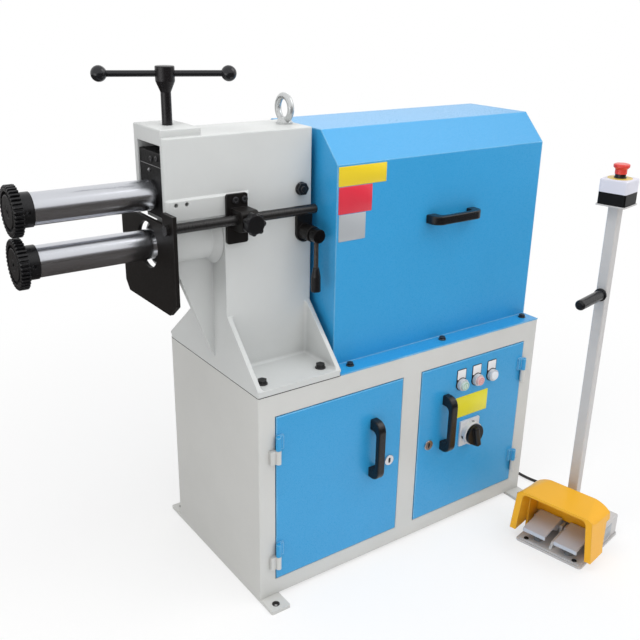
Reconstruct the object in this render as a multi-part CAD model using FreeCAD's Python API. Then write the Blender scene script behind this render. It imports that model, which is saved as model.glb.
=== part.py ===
import FreeCAD, Part
import math

# Electric bead roller with a loose foot pedal and emergency stop stand.
# Millimetres, +Z up. The origin is on the floor, in the middle of the four floor bolts.
# +X runs along the shafts from the rolls to the motor, +Y runs away from the doors.

V = FreeCAD.Vector
X_AXIS = V(1, 0, 0)
Y_AXIS = V(0, 1, 0)
Z_AXIS = V(0, 0, 1)

# Cabinet
CAB_L = 838.0
CAB_D = 400.0
CAB_H = 500.0
SHEET = 3.0
FOOT_T = 8.0
FOOT_W = 48.0
FOOT_OVER = 50.0
FLOOR_BOLT_X = 397.0
FLOOR_BOLT_Y = 230.0
FLOOR_BOLT_R = 7.0
HALF_L = CAB_L / 2
HALF_D = CAB_D / 2
CAB_TOP = FOOT_T + CAB_H

# Doors: left opening, right opening, both the same size
OPEN_W = 350.0
OPEN_H = 410.0
OPEN_Z = 48.0
LEFT_OPEN_X = -379.0
RIGHT_OPEN_X = 26.0
DOOR_GAP = 2.0
DOOR_SKIN = 2.5
DOOR_DEPTH = 18.0
DOOR_FACE_Y = -HALF_D - 2.0
HINGE_Y = DOOR_FACE_Y - 7.0
HINGE_R = 6.0
HINGE_PIN_R = 3.0
HINGE_Z = (349.0, 81.0)
KNUCKLE_H = 32.0
LOCK_INSET = 35.0
LOCK_Z = 254.0
LEFT_HANDLE_X = -114.0
RIGHT_HANDLE_X = 110.0
HANDLE_Z = 303.0

# Fittings on the right door
BUTTON_X = (158.0, 210.0, 262.0)
BUTTON_Z = 394.0
ISOLATOR_X = 197.0
ISOLATOR_Z = 253.0
ISOLATOR_RISE = 20.0

# Column and head casting
COL_X0 = -HALF_L
COL_X1 = -211.0
COL_Y0 = -78.0
COL_Y1 = 52.0
COL_WALL = 10.0
BASE_T = 15.0
HEAD_X0 = -543.5
HEAD_Z0 = 866.0
HEAD_Z1 = 1023.0
HEAD_SIDE = 14.0
HEAD_TOP_T = 15.0
HEAD_CORNER = 9.0
CASTING_FILLET = 7.0
PAD_X1 = -460.0
PAD_T = 15.0
FACING_T = 4.0
FACING_X1 = -364.0
EYE_X = -236.0
ACCESSORY_X = (-524.0, -501.4)
ACCESSORY_Z = 897.0
ACCESSORY_R = 4.0

# Shafts
SHAFT_Y = -13.0
UPPER_Z = 908.0
LOWER_Z = 810.0
BAR_R = 30.0
JOURNAL_R = 25.0
RUN = 0.05
BAR_X0 = -777.0
BAR_X1 = -545.0
SPIGOT_R = 20.0
ROLL_X0 = -817.0
ROLL_X1 = -800.0
ROLL_R = 47.5
ROLL_TEETH = 36
COLLAR_R = 32.0
UPPER_TAIL_R = 20.0
LOWER_TAIL_R = 22.0

# Tilting upper arm and its screw
PIVOT_X = -236.5
PIVOT_Z = 898.0
PIVOT_R = 10.0
PIN_LENGTH = 29.0
BLOCK_X0 = -541.0
BLOCK_X1 = -463.0
BLOCK_Z0 = 868.0
BLOCK_Z1 = 992.0
QUILL_R = 38.0
QUILL_X1 = -205.0
SCREW_X = -502.0
SCREW_R = 10.0
BAR_Z = 1132.5
TOMMY_R = 6.0
TOMMY_HALF = 120.0
TOMMY_TURN = -22.0

# Gears
MODULE = 4.0
SYNC_TEETH = 24
DRIVE_TEETH = 45
PINION_TEETH = 15
PINION_Z = LOWER_Z - 120.3
SYNC_X0 = -184.0
SYNC_X1 = -162.0
DRIVE_X0 = -150.0
DRIVE_X1 = -126.0
SHIFT = 3.0
TOOTH_SLACK = 1.1

# Lower sleeve and its shift lever
SLEEVE_R = 38.0
SLEEVE_X0 = -543.0
SLEEVE_X1 = -200.0
LEVER_X = -231.5
LEVER_Z = 808.0
LEVER_HUB_R = 11.0
ECCENTRIC = 5.0
ECC_PIN_R = 5.9
LEVER_ARM_Y = COL_Y0 - 52.0
LEVER_TIP_Z = 738.0

# Depth stop
STOP_X0 = -557.0
STOP_X1 = -549.0
ROD_Y = -110.0
ROD_Z = 860.5
ROD_R = 10.0
ROD_X1 = -222.0
BRACKET_X0 = -410.0
BRACKET_X1 = -372.0
BRACKET_Y0 = -133.0
KNOB_X = -391.0
KNOB_Y = -139.0
KNOB_Z = 857.5

# Rear hood
HOOD_X0 = -197.0
HOOD_X1 = HALF_L
HOOD_Y0 = -152.0
HOOD_Y1 = 162.0
HOOD_SHOULDER = 954.0
HOOD_TOP = 1018.0
HOOD_TOP_Y0 = -90.0
HOOD_TOP_Y1 = 100.0
HOOD_SHEET = 2.0
FLANGE_T = 3.0
FLANGE_X0 = -210.0
HOOD_BOLTS_X = (-164.0, 113.0, 391.0)
HOOD_BOLTS_Y = (-171.0, 181.0)
HOOD_SLOPE = 0.41
HOOD_HANDLE_X = 129.0
HOOD_HANDLE_Z = 810.0

# Pedal stand: its own frame stands on the floor, turned about Z
STAND_O = V(256.0, -443.5, 0)
STAND_TURN = -78.0
PEDAL_BASE_W = 176.0
PEDAL_BASE_D = 205.0
PLATE_T = 8.0
HOUSING_T0 = 112.0
HOUSING_H = 58.0
GUARD_H = 140.0
POST_S = -18.0
POST_T = 150.0
POST_W = 25.0
POST_TOP = 850.0
BOX_W = 64.0
ESTOP_BASE_H = 27.0
ESTOP_COVER_H = 30.0
ESTOP_STEM_R = 11.8
PEDAL_W = 60.0
PEDAL_GAP = 24.0
PEDAL_PIVOT_T = 84.0
PEDAL_PIVOT_Z = 34.0
PEDAL_PIN_R = 4.0
GRIP_Z = 640.0

# Cable from the stand to the cabinet
CABLE_R = 4.0
CABLE_S = -30.0
CABLE_Z = 24.0
GLAND_Y = 62.0
GLAND_Z = 50.0


def box(x0, x1, y0, y1, z0, z1):
    return Part.makeBox(x1 - x0, y1 - y0, z1 - z0, V(x0, y0, z0))


def rod_x(x0, x1, y, z, r):
    return Part.makeCylinder(r, x1 - x0, V(x0, y, z), X_AXIS)


def rod_y(y0, y1, x, z, r):
    return Part.makeCylinder(r, y1 - y0, V(x, y0, z), Y_AXIS)


def rod_z(z0, z1, x, y, r):
    return Part.makeCylinder(r, z1 - z0, V(x, y, z0), Z_AXIS)


def prism_x(points, x0, x1):
    wire = Part.makePolygon([V(x0, y, z) for y, z in points + points[:1]])
    return Part.Face(wire).extrude(V(x1 - x0, 0, 0))


def prism_y(points, y0, y1):
    wire = Part.makePolygon([V(x, y0, z) for x, z in points + points[:1]])
    return Part.Face(wire).extrude(V(0, y1 - y0, 0))


def prism_z(points, z0, z1):
    wire = Part.makePolygon([V(x, y, z0) for x, y in points + points[:1]])
    return Part.Face(wire).extrude(V(0, 0, z1 - z0))


def join(shapes):
    return shapes[0].multiFuse(shapes[1:]).removeSplitter()


def round_edges(shape, radius, keep):
    edges = [e for e in shape.Edges if keep(e)]
    return shape.makeFillet(radius, edges)


def along(edge, axis):
    a, b = edge.Vertexes[0].Point, edge.Vertexes[-1].Point
    d = b - a
    return d.Length > 1e-6 and abs(d.dot(axis)) > 0.999 * d.Length


def hexagon(across_flats, z0, z1, x, y):
    r = across_flats / math.sqrt(3)
    points = [(x + r * math.cos(math.radians(60 * k)), y + r * math.sin(math.radians(60 * k))) for k in range(6)]
    return prism_z(points, z0, z1)


def turned(shape, degrees, axis, centre=V(0, 0, 0)):
    shape = shape.copy()
    shape.rotate(centre, axis, degrees)
    return shape


def moved(shape, x, y, z):
    shape = shape.copy()
    shape.translate(V(x, y, z))
    return shape


def export(name, shape):
    solids = shape.Solids
    if not shape.isValid():
        print("invalid shape", name)
    if len(solids) == 1:
        shape = solids[0]
    shape.exportStep("parts/" + name + ".step")
    print(name, len(solids), "solid", round(shape.Volume / 1000, 1), "cm3")


# Cabinet, its feet, doors and their hinges

def opening_box(x0, grow, y0, y1):
    return box(x0 - grow, x0 + OPEN_W + grow, y0, y1, OPEN_Z - grow, OPEN_Z + OPEN_H + grow)


def cabinet_shell():
    body = box(-HALF_L, HALF_L, -HALF_D, HALF_D, FOOT_T, CAB_TOP)
    body = round_edges(body, 3.0, lambda e: along(e, Z_AXIS))
    low, high = FOOT_T + SHEET, CAB_TOP - SHEET
    front, back = -HALF_D + SHEET, HALF_D - SHEET
    rooms = [box(-HALF_L + SHEET, -1.5, front, back, low, high), box(1.5, HALF_L - SHEET, front, back, low, high)]
    body = body.cut(rooms)
    jambs = []
    for x0 in (LEFT_OPEN_X, RIGHT_OPEN_X):
        body = body.cut(opening_box(x0, 0, -HALF_D - 1, front))
        jambs.append(opening_box(x0, 2, front, front + 14).cut(opening_box(x0, 0, front - 1, front + 15)))
    body = join([body] + jambs)
    holes = [rod_z(CAB_TOP - 10, CAB_TOP + 1, x, y, 7) for x, y in column_bolt_places()]
    holes.append(rod_x(HALF_L - 10, HALF_L + 1, GLAND_Y, GLAND_Z, 8.2))
    return body.cut(holes)


def foot_strips():
    strips = []
    for side in (-1, 1):
        x0, x1 = sorted((side * HALF_L, side * (HALF_L - FOOT_W)))
        strip = box(x0, x1, -HALF_D - FOOT_OVER, HALF_D + FOOT_OVER, 0, FOOT_T)
        strip = round_edges(strip, 3.0, lambda e: along(e, Z_AXIS))
        for y in (-FLOOR_BOLT_Y, FLOOR_BOLT_Y):
            strip = strip.cut(rod_z(-1, FOOT_T + 1, side * FLOOR_BOLT_X, y, FLOOR_BOLT_R))
        strips.append(strip)
    return Part.makeCompound(strips)


def hinge_axis_x(side):
    return LEFT_OPEN_X + 3.0 if side < 0 else RIGHT_OPEN_X + OPEN_W - 3.0


def hinge_knuckles():
    pieces = []
    for side in (-1, 1):
        x = hinge_axis_x(side)
        for z0 in HINGE_Z:
            barrel = rod_z(z0, z0 + KNUCKLE_H, x, HINGE_Y, HINGE_R)
            pin = rod_z(z0 + KNUCKLE_H, z0 + 2 * KNUCKLE_H - 4, x, HINGE_Y, HINGE_PIN_R)
            near, far = sorted((x + side * 3.5, x + side * 18.0))
            neck = box(near, far, HINGE_Y + 1, -HALF_D, z0, z0 + KNUCKLE_H)
            pieces.append(join([barrel, pin, neck]))
    return Part.makeCompound(pieces)


def door_panel(side):
    x0 = (LEFT_OPEN_X if side < 0 else RIGHT_OPEN_X) + DOOR_GAP
    x1 = x0 + OPEN_W - 2 * DOOR_GAP
    z0 = OPEN_Z + DOOR_GAP
    z1 = OPEN_Z + OPEN_H - DOOR_GAP
    back = DOOR_FACE_Y + DOOR_DEPTH
    panel = box(x0, x1, DOOR_FACE_Y, back, z0, z1)
    panel = round_edges(panel, 1.5, lambda e: abs(e.CenterOfMass.y - DOOR_FACE_Y) < 0.01)
    panel = panel.cut(box(x0 + 2, x1 - 2, DOOR_FACE_Y + DOOR_SKIN, back + 1, z0 + 2, z1 - 2))
    x = hinge_axis_x(side)
    parts = [panel]
    for low in HINGE_Z:
        base = low + KNUCKLE_H + 0.5
        top = low + 2 * KNUCKLE_H
        near, far = sorted((x - side * 1.0, x - side * 15.0))
        parts.append(rod_z(base, top, x, HINGE_Y, HINGE_R))
        parts.append(box(near, far, HINGE_Y + 2, DOOR_FACE_Y + 0.5, base, top))
    panel = join(parts)
    cuts = [rod_z(low + KNUCKLE_H - 1, low + 2 * KNUCKLE_H - 3, x, HINGE_Y, HINGE_PIN_R + RUN) for low in HINGE_Z]
    cuts.append(rod_y(DOOR_FACE_Y - 1, DOOR_FACE_Y + 5, lock_x(side), LOCK_Z, 9 + RUN))
    if side > 0:
        cuts += [rod_y(DOOR_FACE_Y - 1, DOOR_FACE_Y + 5, x, BUTTON_Z, 11.3) for x in BUTTON_X]
        cuts.append(rod_y(DOOR_FACE_Y - 1, DOOR_FACE_Y + 5, ISOLATOR_X, ISOLATOR_Z, 6))
    return panel.cut(cuts)


def lock_x(side):
    if side < 0:
        return LEFT_OPEN_X + OPEN_W - LOCK_INSET
    return RIGHT_OPEN_X + LOCK_INSET


def lock(side):
    x = lock_x(side)
    face = rod_y(DOOR_FACE_Y - 4, DOOR_FACE_Y - 0.05, x, LOCK_Z, 13)
    face = round_edges(face, 1.0, lambda e: abs(e.CenterOfMass.y - DOOR_FACE_Y + 4) < 0.01)
    slot = box(x - 1.5, x + 1.5, DOOR_FACE_Y - 5, DOOR_FACE_Y - 2, LOCK_Z - 7, LOCK_Z + 7)
    barrel = rod_y(DOOR_FACE_Y - 1, DOOR_FACE_Y + 24, x, LOCK_Z, 9)
    cam = box(x - 8, x + 8, DOOR_FACE_Y + 21, DOOR_FACE_Y + 24, LOCK_Z - 45, LOCK_Z)
    return join([face, barrel, cam]).cut(slot)


def bow_handle():
    length, reach, width, thick = 150.0, 35.0, 20.0, 12.0
    outer = box(-width / 2, width / 2, -reach, 0, -length / 2, length / 2)
    outer = round_edges(outer, 24.0, lambda e: along(e, X_AXIS) and e.CenterOfMass.y < -reach + 1)
    inner = box(-width, width, -reach + thick, 1, -length / 2 + 25, length / 2 - 25)
    inner = round_edges(inner, 12.0, lambda e: along(e, X_AXIS) and e.CenterOfMass.y < -reach + thick + 1)
    grip = outer.cut(inner)
    return round_edges(grip, 3.0, lambda e: abs(abs(e.CenterOfMass.x) - width / 2) < 0.01
                       and e.CenterOfMass.y < -reach + 0.5 and along(e, Z_AXIS))


# Column, head and what is bolted to them

def column_bolt_places():
    return [(x, y) for x in (-389.0, -242.0) for y in (-167.0, 167.0)]


def gusset_outline():
    flare = 125.0
    top = CAB_TOP + BASE_T
    return [(-HALF_D, top - 5), (-HALF_D, top), (COL_Y0, top + flare), (COL_Y0, HEAD_Z0), (COL_Y1, HEAD_Z0),
            (COL_Y1, top + flare), (HALF_D, top), (HALF_D, top - 5)]


def quarter_fillet(radius):
    start = V(COL_X0 + 1, COL_Y0, HEAD_Z0 + 1)
    a = V(COL_X0 - radius, COL_Y0, HEAD_Z0 + 1)
    b = V(COL_X0 - radius, COL_Y0, HEAD_Z0)
    mid = V(COL_X0 - radius * (1 - math.sqrt(0.5)), COL_Y0, HEAD_Z0 - radius * (1 - math.sqrt(0.5)))
    c = V(COL_X0, COL_Y0, HEAD_Z0 - radius)
    d = V(COL_X0 + 1, COL_Y0, HEAD_Z0 - radius)
    edges = [Part.makeLine(start, a), Part.makeLine(a, b), Part.Arc(b, mid, c).toShape(), Part.makeLine(c, d),
             Part.makeLine(d, start)]
    return Part.Face(Part.Wire(edges)).extrude(V(0, COL_Y1 - COL_Y0, 0))


def column_casting():
    top = CAB_TOP + BASE_T
    base = box(COL_X0, COL_X1, -HALF_D, HALF_D, CAB_TOP, top)
    base = round_edges(base, 4.0, lambda e: along(e, Z_AXIS))
    solids = [base]
    for x0 in (COL_X0, COL_X1 - COL_WALL):
        solids.append(prism_x(gusset_outline(), x0, x0 + COL_WALL))
    inside_x0, inside_x1 = COL_X0 + COL_WALL, COL_X1 - COL_WALL
    solids.append(box(inside_x0 - 1, inside_x1 + 1, COL_Y0, COL_Y0 + 16, top - 1, HEAD_Z0))
    solids.append(box(inside_x0 - 1, inside_x1 + 1, COL_Y1 - 16, COL_Y1, top - 1, HEAD_Z0))
    foot = join(solids)
    corners = [e for e in foot.Edges if top - 1 < e.CenterOfMass.z < top + 126 and abs(e.CenterOfMass.y) < HALF_D - 5
               and inside_x0 - 0.1 < e.CenterOfMass.x < inside_x1 + 0.1
               and (e.CenterOfMass.y < COL_Y0 + 0.1 or e.CenterOfMass.y > COL_Y1 - 0.1)
               and (along(e, X_AXIS) or along(e, Y_AXIS) or along(e, Z_AXIS))]
    solids = [foot.makeFillet(CASTING_FILLET, corners)]
    head = box(HEAD_X0, COL_X1, COL_Y0, COL_Y1, HEAD_Z0, HEAD_Z1)
    head = round_edges(head, HEAD_CORNER, lambda e: along(e, Z_AXIS) and e.CenterOfMass.x < HEAD_X0 + 1
                       and e.CenterOfMass.y < COL_Y0 + 1)
    pad = box(HEAD_X0, PAD_X1, COL_Y0 + HEAD_CORNER + 1, COL_Y1, HEAD_Z1 - 1, HEAD_Z1 + PAD_T)
    head = join([head, pad])
    head = round_edges(head, 2.5, lambda e: e.CenterOfMass.z > HEAD_Z1 + PAD_T - 0.1 or
                       (abs(e.CenterOfMass.z - HEAD_Z1) < 0.1 and along(e, X_AXIS) and e.Length > 200))
    head = head.cut(box(HEAD_X0 - 1, COL_X1 - COL_WALL, COL_Y0 + HEAD_SIDE, COL_Y1 - HEAD_SIDE, HEAD_Z0 - 1,
                        HEAD_Z1 - HEAD_TOP_T))
    solids.append(head)
    web = [(COL_X0 + 1, top + 14), (COL_X0 + 1, HEAD_Z0), (-530, HEAD_Z0), (-530, 822), (COL_X0 - 2, top + 16)]
    solids.append(prism_y(web, SHAFT_Y - 8, SHAFT_Y + 8))
    solids.append(box(-530, COL_X0 + 1, COL_Y0 + HEAD_SIDE - 1, COL_Y1 - HEAD_SIDE + 1, HEAD_Z0 - 10, HEAD_Z0))
    tube_r = 45.0
    solids.append(rod_x(HEAD_X0 + 3, inside_x0, SHAFT_Y, LOWER_Z, tube_r))
    solids.append(Part.makeCone(tube_r + 14, tube_r, 16, V(COL_X0 - 0.5, SHAFT_Y, LOWER_Z), V(-1, 0, 0)))
    solids.append(quarter_fillet(28.0))
    facing = box(HEAD_X0, FACING_X1, COL_Y0 - FACING_T, COL_Y0 + 8, HEAD_Z0, 908)
    facing = round_edges(facing, HEAD_CORNER, lambda e: along(e, Z_AXIS) and e.CenterOfMass.x < HEAD_X0 + 1
                         and e.CenterOfMass.y < COL_Y0)
    front = [e for e in facing.Edges if e.CenterOfMass.y < COL_Y0 - 1 and
             ((along(e, X_AXIS) and e.CenterOfMass.z > 907) or (along(e, Z_AXIS) and e.CenterOfMass.x > FACING_X1 - 1))]
    solids.append(facing.makeChamfer(FACING_T - 0.5, front))
    body = join(solids)
    bore = SLEEVE_R + RUN
    cuts = [rod_x(HEAD_X0, inside_x0 + 1, SHAFT_Y, LOWER_Z, bore),
            rod_x(inside_x1 - 1, COL_X1 + 1, SHAFT_Y, LOWER_Z, bore),
            box(inside_x1 - 1, COL_X1 + 1, COL_Y0 + HEAD_SIDE, COL_Y1 - HEAD_SIDE, HEAD_Z0 + 2, 952),
            rod_y(COL_Y0 - 1, -45, LEVER_X, LEVER_Z, LEVER_HUB_R + 0.3),
            rod_y(COL_Y0 - 1, COL_Y1 + 1, PIVOT_X, PIVOT_Z, PIVOT_R),
            rod_z(HEAD_Z1 - 20, HEAD_Z1 + 20, SCREW_X, SHAFT_Y, SCREW_R + RUN),
            rod_z(HEAD_Z1 - 20, HEAD_Z1 + 1, EYE_X, SHAFT_Y, 8 + RUN)]
    cuts += [rod_y(COL_Y0 - FACING_T - 1, COL_Y0 + HEAD_SIDE + 1, x, ACCESSORY_Z, ACCESSORY_R) for x in ACCESSORY_X]
    cuts += [rod_z(CAB_TOP - 1, top + 1, x, y, 7) for x, y in column_bolt_places()]
    return body.cut(cuts)


def hex_bolt(x, y, z, flats, head_h, washer_r, shank_r, depth):
    shapes = [rod_z(z - depth, z + 1, x, y, shank_r), rod_z(z, z + 2, x, y, washer_r),
              hexagon(flats, z + 2, z + 2 + head_h, x, y)]
    return join(shapes)


def column_bolts():
    top = CAB_TOP + BASE_T
    return [hex_bolt(x, y, top, 18, 8, 11.5, 6, BASE_T + 14) for x, y in column_bolt_places()]


def hood_bolts():
    places = [(x, y) for x in HOOD_BOLTS_X for y in HOOD_BOLTS_Y]
    return [hex_bolt(x, y, CAB_TOP + FLANGE_T, 13, 5.5, 9, 4, 2.5) for x, y in places]


def eye_bolt():
    ring_r, wire_r = 24.5, 7.0
    centre_z = HEAD_Z1 + 32
    ring = Part.makeTorus(ring_r, wire_r, V(EYE_X, SHAFT_Y, centre_z), X_AXIS)
    collar = rod_z(HEAD_Z1, HEAD_Z1 + 4, EYE_X, SHAFT_Y, 17.5)
    neck = Part.makeCone(16.5, 11.5, 10, V(EYE_X, SHAFT_Y, HEAD_Z1 + 3.5), Z_AXIS)
    shank = rod_z(HEAD_Z1 - 14, HEAD_Z1 + 1, EYE_X, SHAFT_Y, 8)
    return join([ring, collar, neck, shank])


def pivot_pins():
    pins = []
    for side in (-1, 1):
        face = COL_Y0 if side < 0 else COL_Y1
        head = hexagon(24, 1.5, 10, 0, 0)
        washer = rod_z(0, 2, 0, 0, 14)
        stub = rod_z(9, 12, 0, 0, 6)
        pin = join([head, washer, stub, rod_z(-PIN_LENGTH, 1, 0, 0, PIVOT_R)])
        pin = turned(pin, 90 if side < 0 else -90, X_AXIS)
        pins.append(moved(pin, PIVOT_X, face, PIVOT_Z))
    return Part.makeCompound(pins)


# Upper arm, both shafts and their rolls

def upper_arm():
    inner_y0, inner_y1 = COL_Y0 + HEAD_SIDE + 0.5, COL_Y1 - HEAD_SIDE - 0.5
    block = box(BLOCK_X0, BLOCK_X1, inner_y0, inner_y1, BLOCK_Z0, BLOCK_Z1)
    block = round_edges(block, 2.0, lambda e: e.CenterOfMass.x < BLOCK_X0 + 0.1)
    quill = rod_x(BLOCK_X1 - 1, QUILL_X1, SHAFT_Y, UPPER_Z, QUILL_R)
    bosses = rod_y(inner_y0 + 1.5, inner_y1 - 1.5, PIVOT_X, PIVOT_Z, 18)
    arm = join([block, quill, bosses])
    centre = SHAFT_Y
    cuts = [rod_x(BLOCK_X0 - 1, QUILL_X1 + 1, SHAFT_Y, UPPER_Z, JOURNAL_R + RUN),
            rod_x(BLOCK_X0 + 24, PIVOT_X + 4, SHAFT_Y, UPPER_Z, JOURNAL_R + 3),
            rod_y(inner_y0, COL_Y0 + 30, PIVOT_X, PIVOT_Z, PIVOT_R + RUN),
            rod_y(COL_Y1 - 30, inner_y1, PIVOT_X, PIVOT_Z, PIVOT_R + RUN),
            box(-522, BLOCK_X1 + 1, centre - 18.5, centre + 18.5, 974.8, 986.2),
            box(-522, BLOCK_X1 + 1, centre - 12.5, centre + 12.5, 986, BLOCK_Z1 + 1),
            box(BLOCK_X0 - 1, BLOCK_X0 + 1.2, inner_y0 - 1, inner_y1 + 1, 965, 966.4)]
    return arm.cut(cuts)


def thrust_block():
    flange = box(SCREW_X - 14, SCREW_X + 14, SHAFT_Y - 17, SHAFT_Y + 17, 976, 985)
    neck = box(SCREW_X - 11, SCREW_X + 11, SHAFT_Y - 11, SHAFT_Y + 11, 984, 995)
    return join([flange, neck]).cut(rod_z(979, 996, SCREW_X, SHAFT_Y, SCREW_R + RUN))


def feed_screw():
    shank = rod_z(979.3, 1100, SCREW_X, SHAFT_Y, SCREW_R)
    cone = Part.makeCone(SCREW_R, 18.5, 20, V(SCREW_X, SHAFT_Y, BAR_Z - 33.5), Z_AXIS)
    hub = rod_z(BAR_Z - 13.5, BAR_Z + 14, SCREW_X, SHAFT_Y, 18.5)
    hub = round_edges(hub, 2.0, lambda e: e.CenterOfMass.z > BAR_Z + 13)
    screw = join([shank, cone, hub])
    return screw.cut(rod_y(SHAFT_Y - 20, SHAFT_Y + 20, SCREW_X, BAR_Z, TOMMY_R + RUN).rotated(
        V(SCREW_X, SHAFT_Y, BAR_Z), Z_AXIS, 90 + TOMMY_TURN))


def tommy_bar():
    bar = rod_x(-TOMMY_HALF, TOMMY_HALF, 0, 0, TOMMY_R)
    balls = [Part.makeSphere(15, V(k * TOMMY_HALF, 0, 0)) for k in (-1, 1)]
    return moved(turned(join([bar] + balls), TOMMY_TURN, Z_AXIS), SCREW_X, SHAFT_Y, BAR_Z)


def toothed_roll(z, phase):
    tip, root = ROLL_R, ROLL_R - 6.0
    points = []
    for k in range(ROLL_TEETH):
        centre = 360.0 / ROLL_TEETH * (k + phase)
        for r, half in ((root, -2.6), (tip, -1.5), (tip, 1.5), (root, 2.6)):
            a = math.radians(centre) + half / r
            points.append((SHAFT_Y + r * math.sin(a), z + r * math.cos(a)))
    roll = prism_x(points, ROLL_X0, ROLL_X1)
    roll = roll.common(Part.makeCone(ROLL_R - 2, ROLL_R + 15, 17, V(ROLL_X0, SHAFT_Y, z), X_AXIS))
    recess = rod_x(ROLL_X0 - 1, ROLL_X0 + 5, SHAFT_Y, z, 36.5)
    return roll.cut([rod_x(ROLL_X0 - 1, ROLL_X1 + 1, SHAFT_Y, z, SPIGOT_R + RUN), recess])


def collar(z):
    ring = rod_x(ROLL_X1, BAR_X0, SHAFT_Y, z, COLLAR_R)
    ring = ring.cut(rod_x(ROLL_X1 - 1, BAR_X0 + 1, SHAFT_Y, z, SPIGOT_R + RUN))
    return ring.cut(Part.makeCylinder(4, 20, V((ROLL_X1 + BAR_X0) / 2, SHAFT_Y - COLLAR_R - 1, z), Y_AXIS))


def roll_screw(z):
    washer = rod_x(ROLL_X0, ROLL_X0 + 5, SHAFT_Y, z, 30.5)
    washer = round_edges(washer, 1.0, lambda e: e.CenterOfMass.x < ROLL_X0 + 0.1)
    groove = rod_x(ROLL_X0 - 1, ROLL_X0 + 0.8, SHAFT_Y, z, 11).cut(rod_x(ROLL_X0 - 2, ROLL_X0 + 2, SHAFT_Y, z, 9.5))
    shank = rod_x(ROLL_X0 + 4, ROLL_X0 + 30, SHAFT_Y, z, 6)
    socket = moved(turned(hexagon(8, 0, 5, 0, 0), 90, Y_AXIS), ROLL_X0 - 1, SHAFT_Y, z)
    return join([washer, shank]).cut([groove, socket])


def main_shaft(z, end_x, end_r):
    bar = rod_x(BAR_X0, BAR_X1, SHAFT_Y, z, BAR_R)
    bar = round_edges(bar, 2.0, lambda e: abs(e.CenterOfMass.x - BAR_X1) < 0.01)
    spigot = rod_x(ROLL_X0 + 5, BAR_X0 + 1, SHAFT_Y, z, SPIGOT_R)
    journal = rod_x(BAR_X1 - 1, QUILL_X1 + 3, SHAFT_Y, z, JOURNAL_R)
    tail = rod_x(QUILL_X1, end_x, SHAFT_Y, z, end_r)
    return join([bar, spigot, journal, tail]).cut(rod_x(ROLL_X0 + 4, ROLL_X0 + 31, SHAFT_Y, z, 6))


def lower_sleeve():
    body = rod_x(SLEEVE_X0, SLEEVE_X1, SHAFT_Y, LOWER_Z, SLEEVE_R)
    cuts = [rod_x(SLEEVE_X0 - 1, SLEEVE_X1 + 1, SHAFT_Y, LOWER_Z, JOURNAL_R + RUN),
            rod_x(SLEEVE_X0 + 30, SLEEVE_X1 - 30, SHAFT_Y, LOWER_Z, JOURNAL_R + 2)]
    slot_r = ECC_PIN_R + 0.2
    slot = box(LEVER_X - slot_r, LEVER_X + slot_r, SHAFT_Y - SLEEVE_R - 1, SHAFT_Y - 28, LEVER_Z - 6, LEVER_Z + 18)
    return body.cut(cuts + [slot])


# Gears

def involute(base_r, r):
    a = math.sqrt(max((r / base_r) ** 2 - 1, 0))
    return a - math.atan(a)


def gear(teeth, x0, x1, z, bore, phase, slack):
    pitch_r = MODULE * teeth / 2
    tip_r = pitch_r + MODULE
    root_r = pitch_r - 1.25 * MODULE
    base_r = pitch_r * math.cos(math.radians(20))
    half = (math.pi * MODULE / 2 - slack / 2) / pitch_r / 2
    low_r = max(base_r, root_r) + 0.01
    flank = []
    for r in (low_r, (low_r + tip_r) / 2, tip_r):
        flank.append((r, half + involute(base_r, pitch_r) - involute(base_r, r)))

    def at(r, a):
        return V(x0, SHAFT_Y + r * math.sin(a), z + r * math.cos(a))

    edges = []
    step = 2 * math.pi / teeth
    for k in range(teeth):
        c = (k + phase) * step
        left = [at(r, c - a) for r, a in flank]
        right = [at(r, c + a) for r, a in flank]
        foot = flank[0][1]
        edges.append(Part.makeLine(at(root_r, c - foot), left[0]))
        edges.append(Part.Arc(*left).toShape())
        edges.append(Part.Arc(left[2], at(tip_r, c), right[2]).toShape())
        edges.append(Part.Arc(*right[::-1]).toShape())
        edges.append(Part.makeLine(right[0], at(root_r, c + foot)))
        edges.append(Part.Arc(at(root_r, c + foot), at(root_r, c + step / 2), at(root_r, c + step - foot)).toShape())
    wire = Part.Wire(Part.__sortEdges__(edges))
    blank = Part.Face(wire).extrude(V(x1 - x0, 0, 0))
    return blank.cut(rod_x(x0 - 1, x1 + 1, SHAFT_Y, z, bore + RUN))


def drive_gear():
    wheel = gear(DRIVE_TEETH, DRIVE_X0, DRIVE_X1, LOWER_Z, LOWER_TAIL_R, 0.0, TOOTH_SLACK)
    web_r0, web_r1 = 40.0, 76.0
    for x0, x1 in ((DRIVE_X0 - 1, DRIVE_X0 + 7), (DRIVE_X1 - 7, DRIVE_X1 + 1)):
        groove = rod_x(x0, x1, SHAFT_Y, LOWER_Z, web_r1).cut(rod_x(x0 - 1, x1 + 1, SHAFT_Y, LOWER_Z, web_r0))
        wheel = wheel.cut(groove)
    return wheel


def pinion():
    teeth = gear(PINION_TEETH, DRIVE_X0 - 9, DRIVE_X1 + 3, PINION_Z, 5.0, 0.0, TOOTH_SLACK)
    core = rod_x(DRIVE_X0 - 9, -60, SHAFT_Y, PINION_Z, 14)
    return join([teeth, core])


# Shift lever, depth stop and bracket

def lever_housing():
    low, high = LEVER_Z - 4.5, LEVER_Z + 33.0
    r = 19.25
    plate = box(LEVER_X - r, LEVER_X + r, COL_Y0 - 8, COL_Y0, low, high + 15)
    plate = join([plate, rod_y(COL_Y0 - 8, COL_Y0, LEVER_X, low, r)])
    boss = rod_y(COL_Y0 - 42, COL_Y0 - 7, LEVER_X, LEVER_Z, 17)
    body = join([plate, boss])
    return body.cut([rod_y(COL_Y0 - 50, COL_Y0 + 1, LEVER_X, LEVER_Z, LEVER_HUB_R + RUN),
                     rod_y(COL_Y0 - 9, COL_Y0 + 1, LEVER_X, high + 6, 4)])


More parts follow.
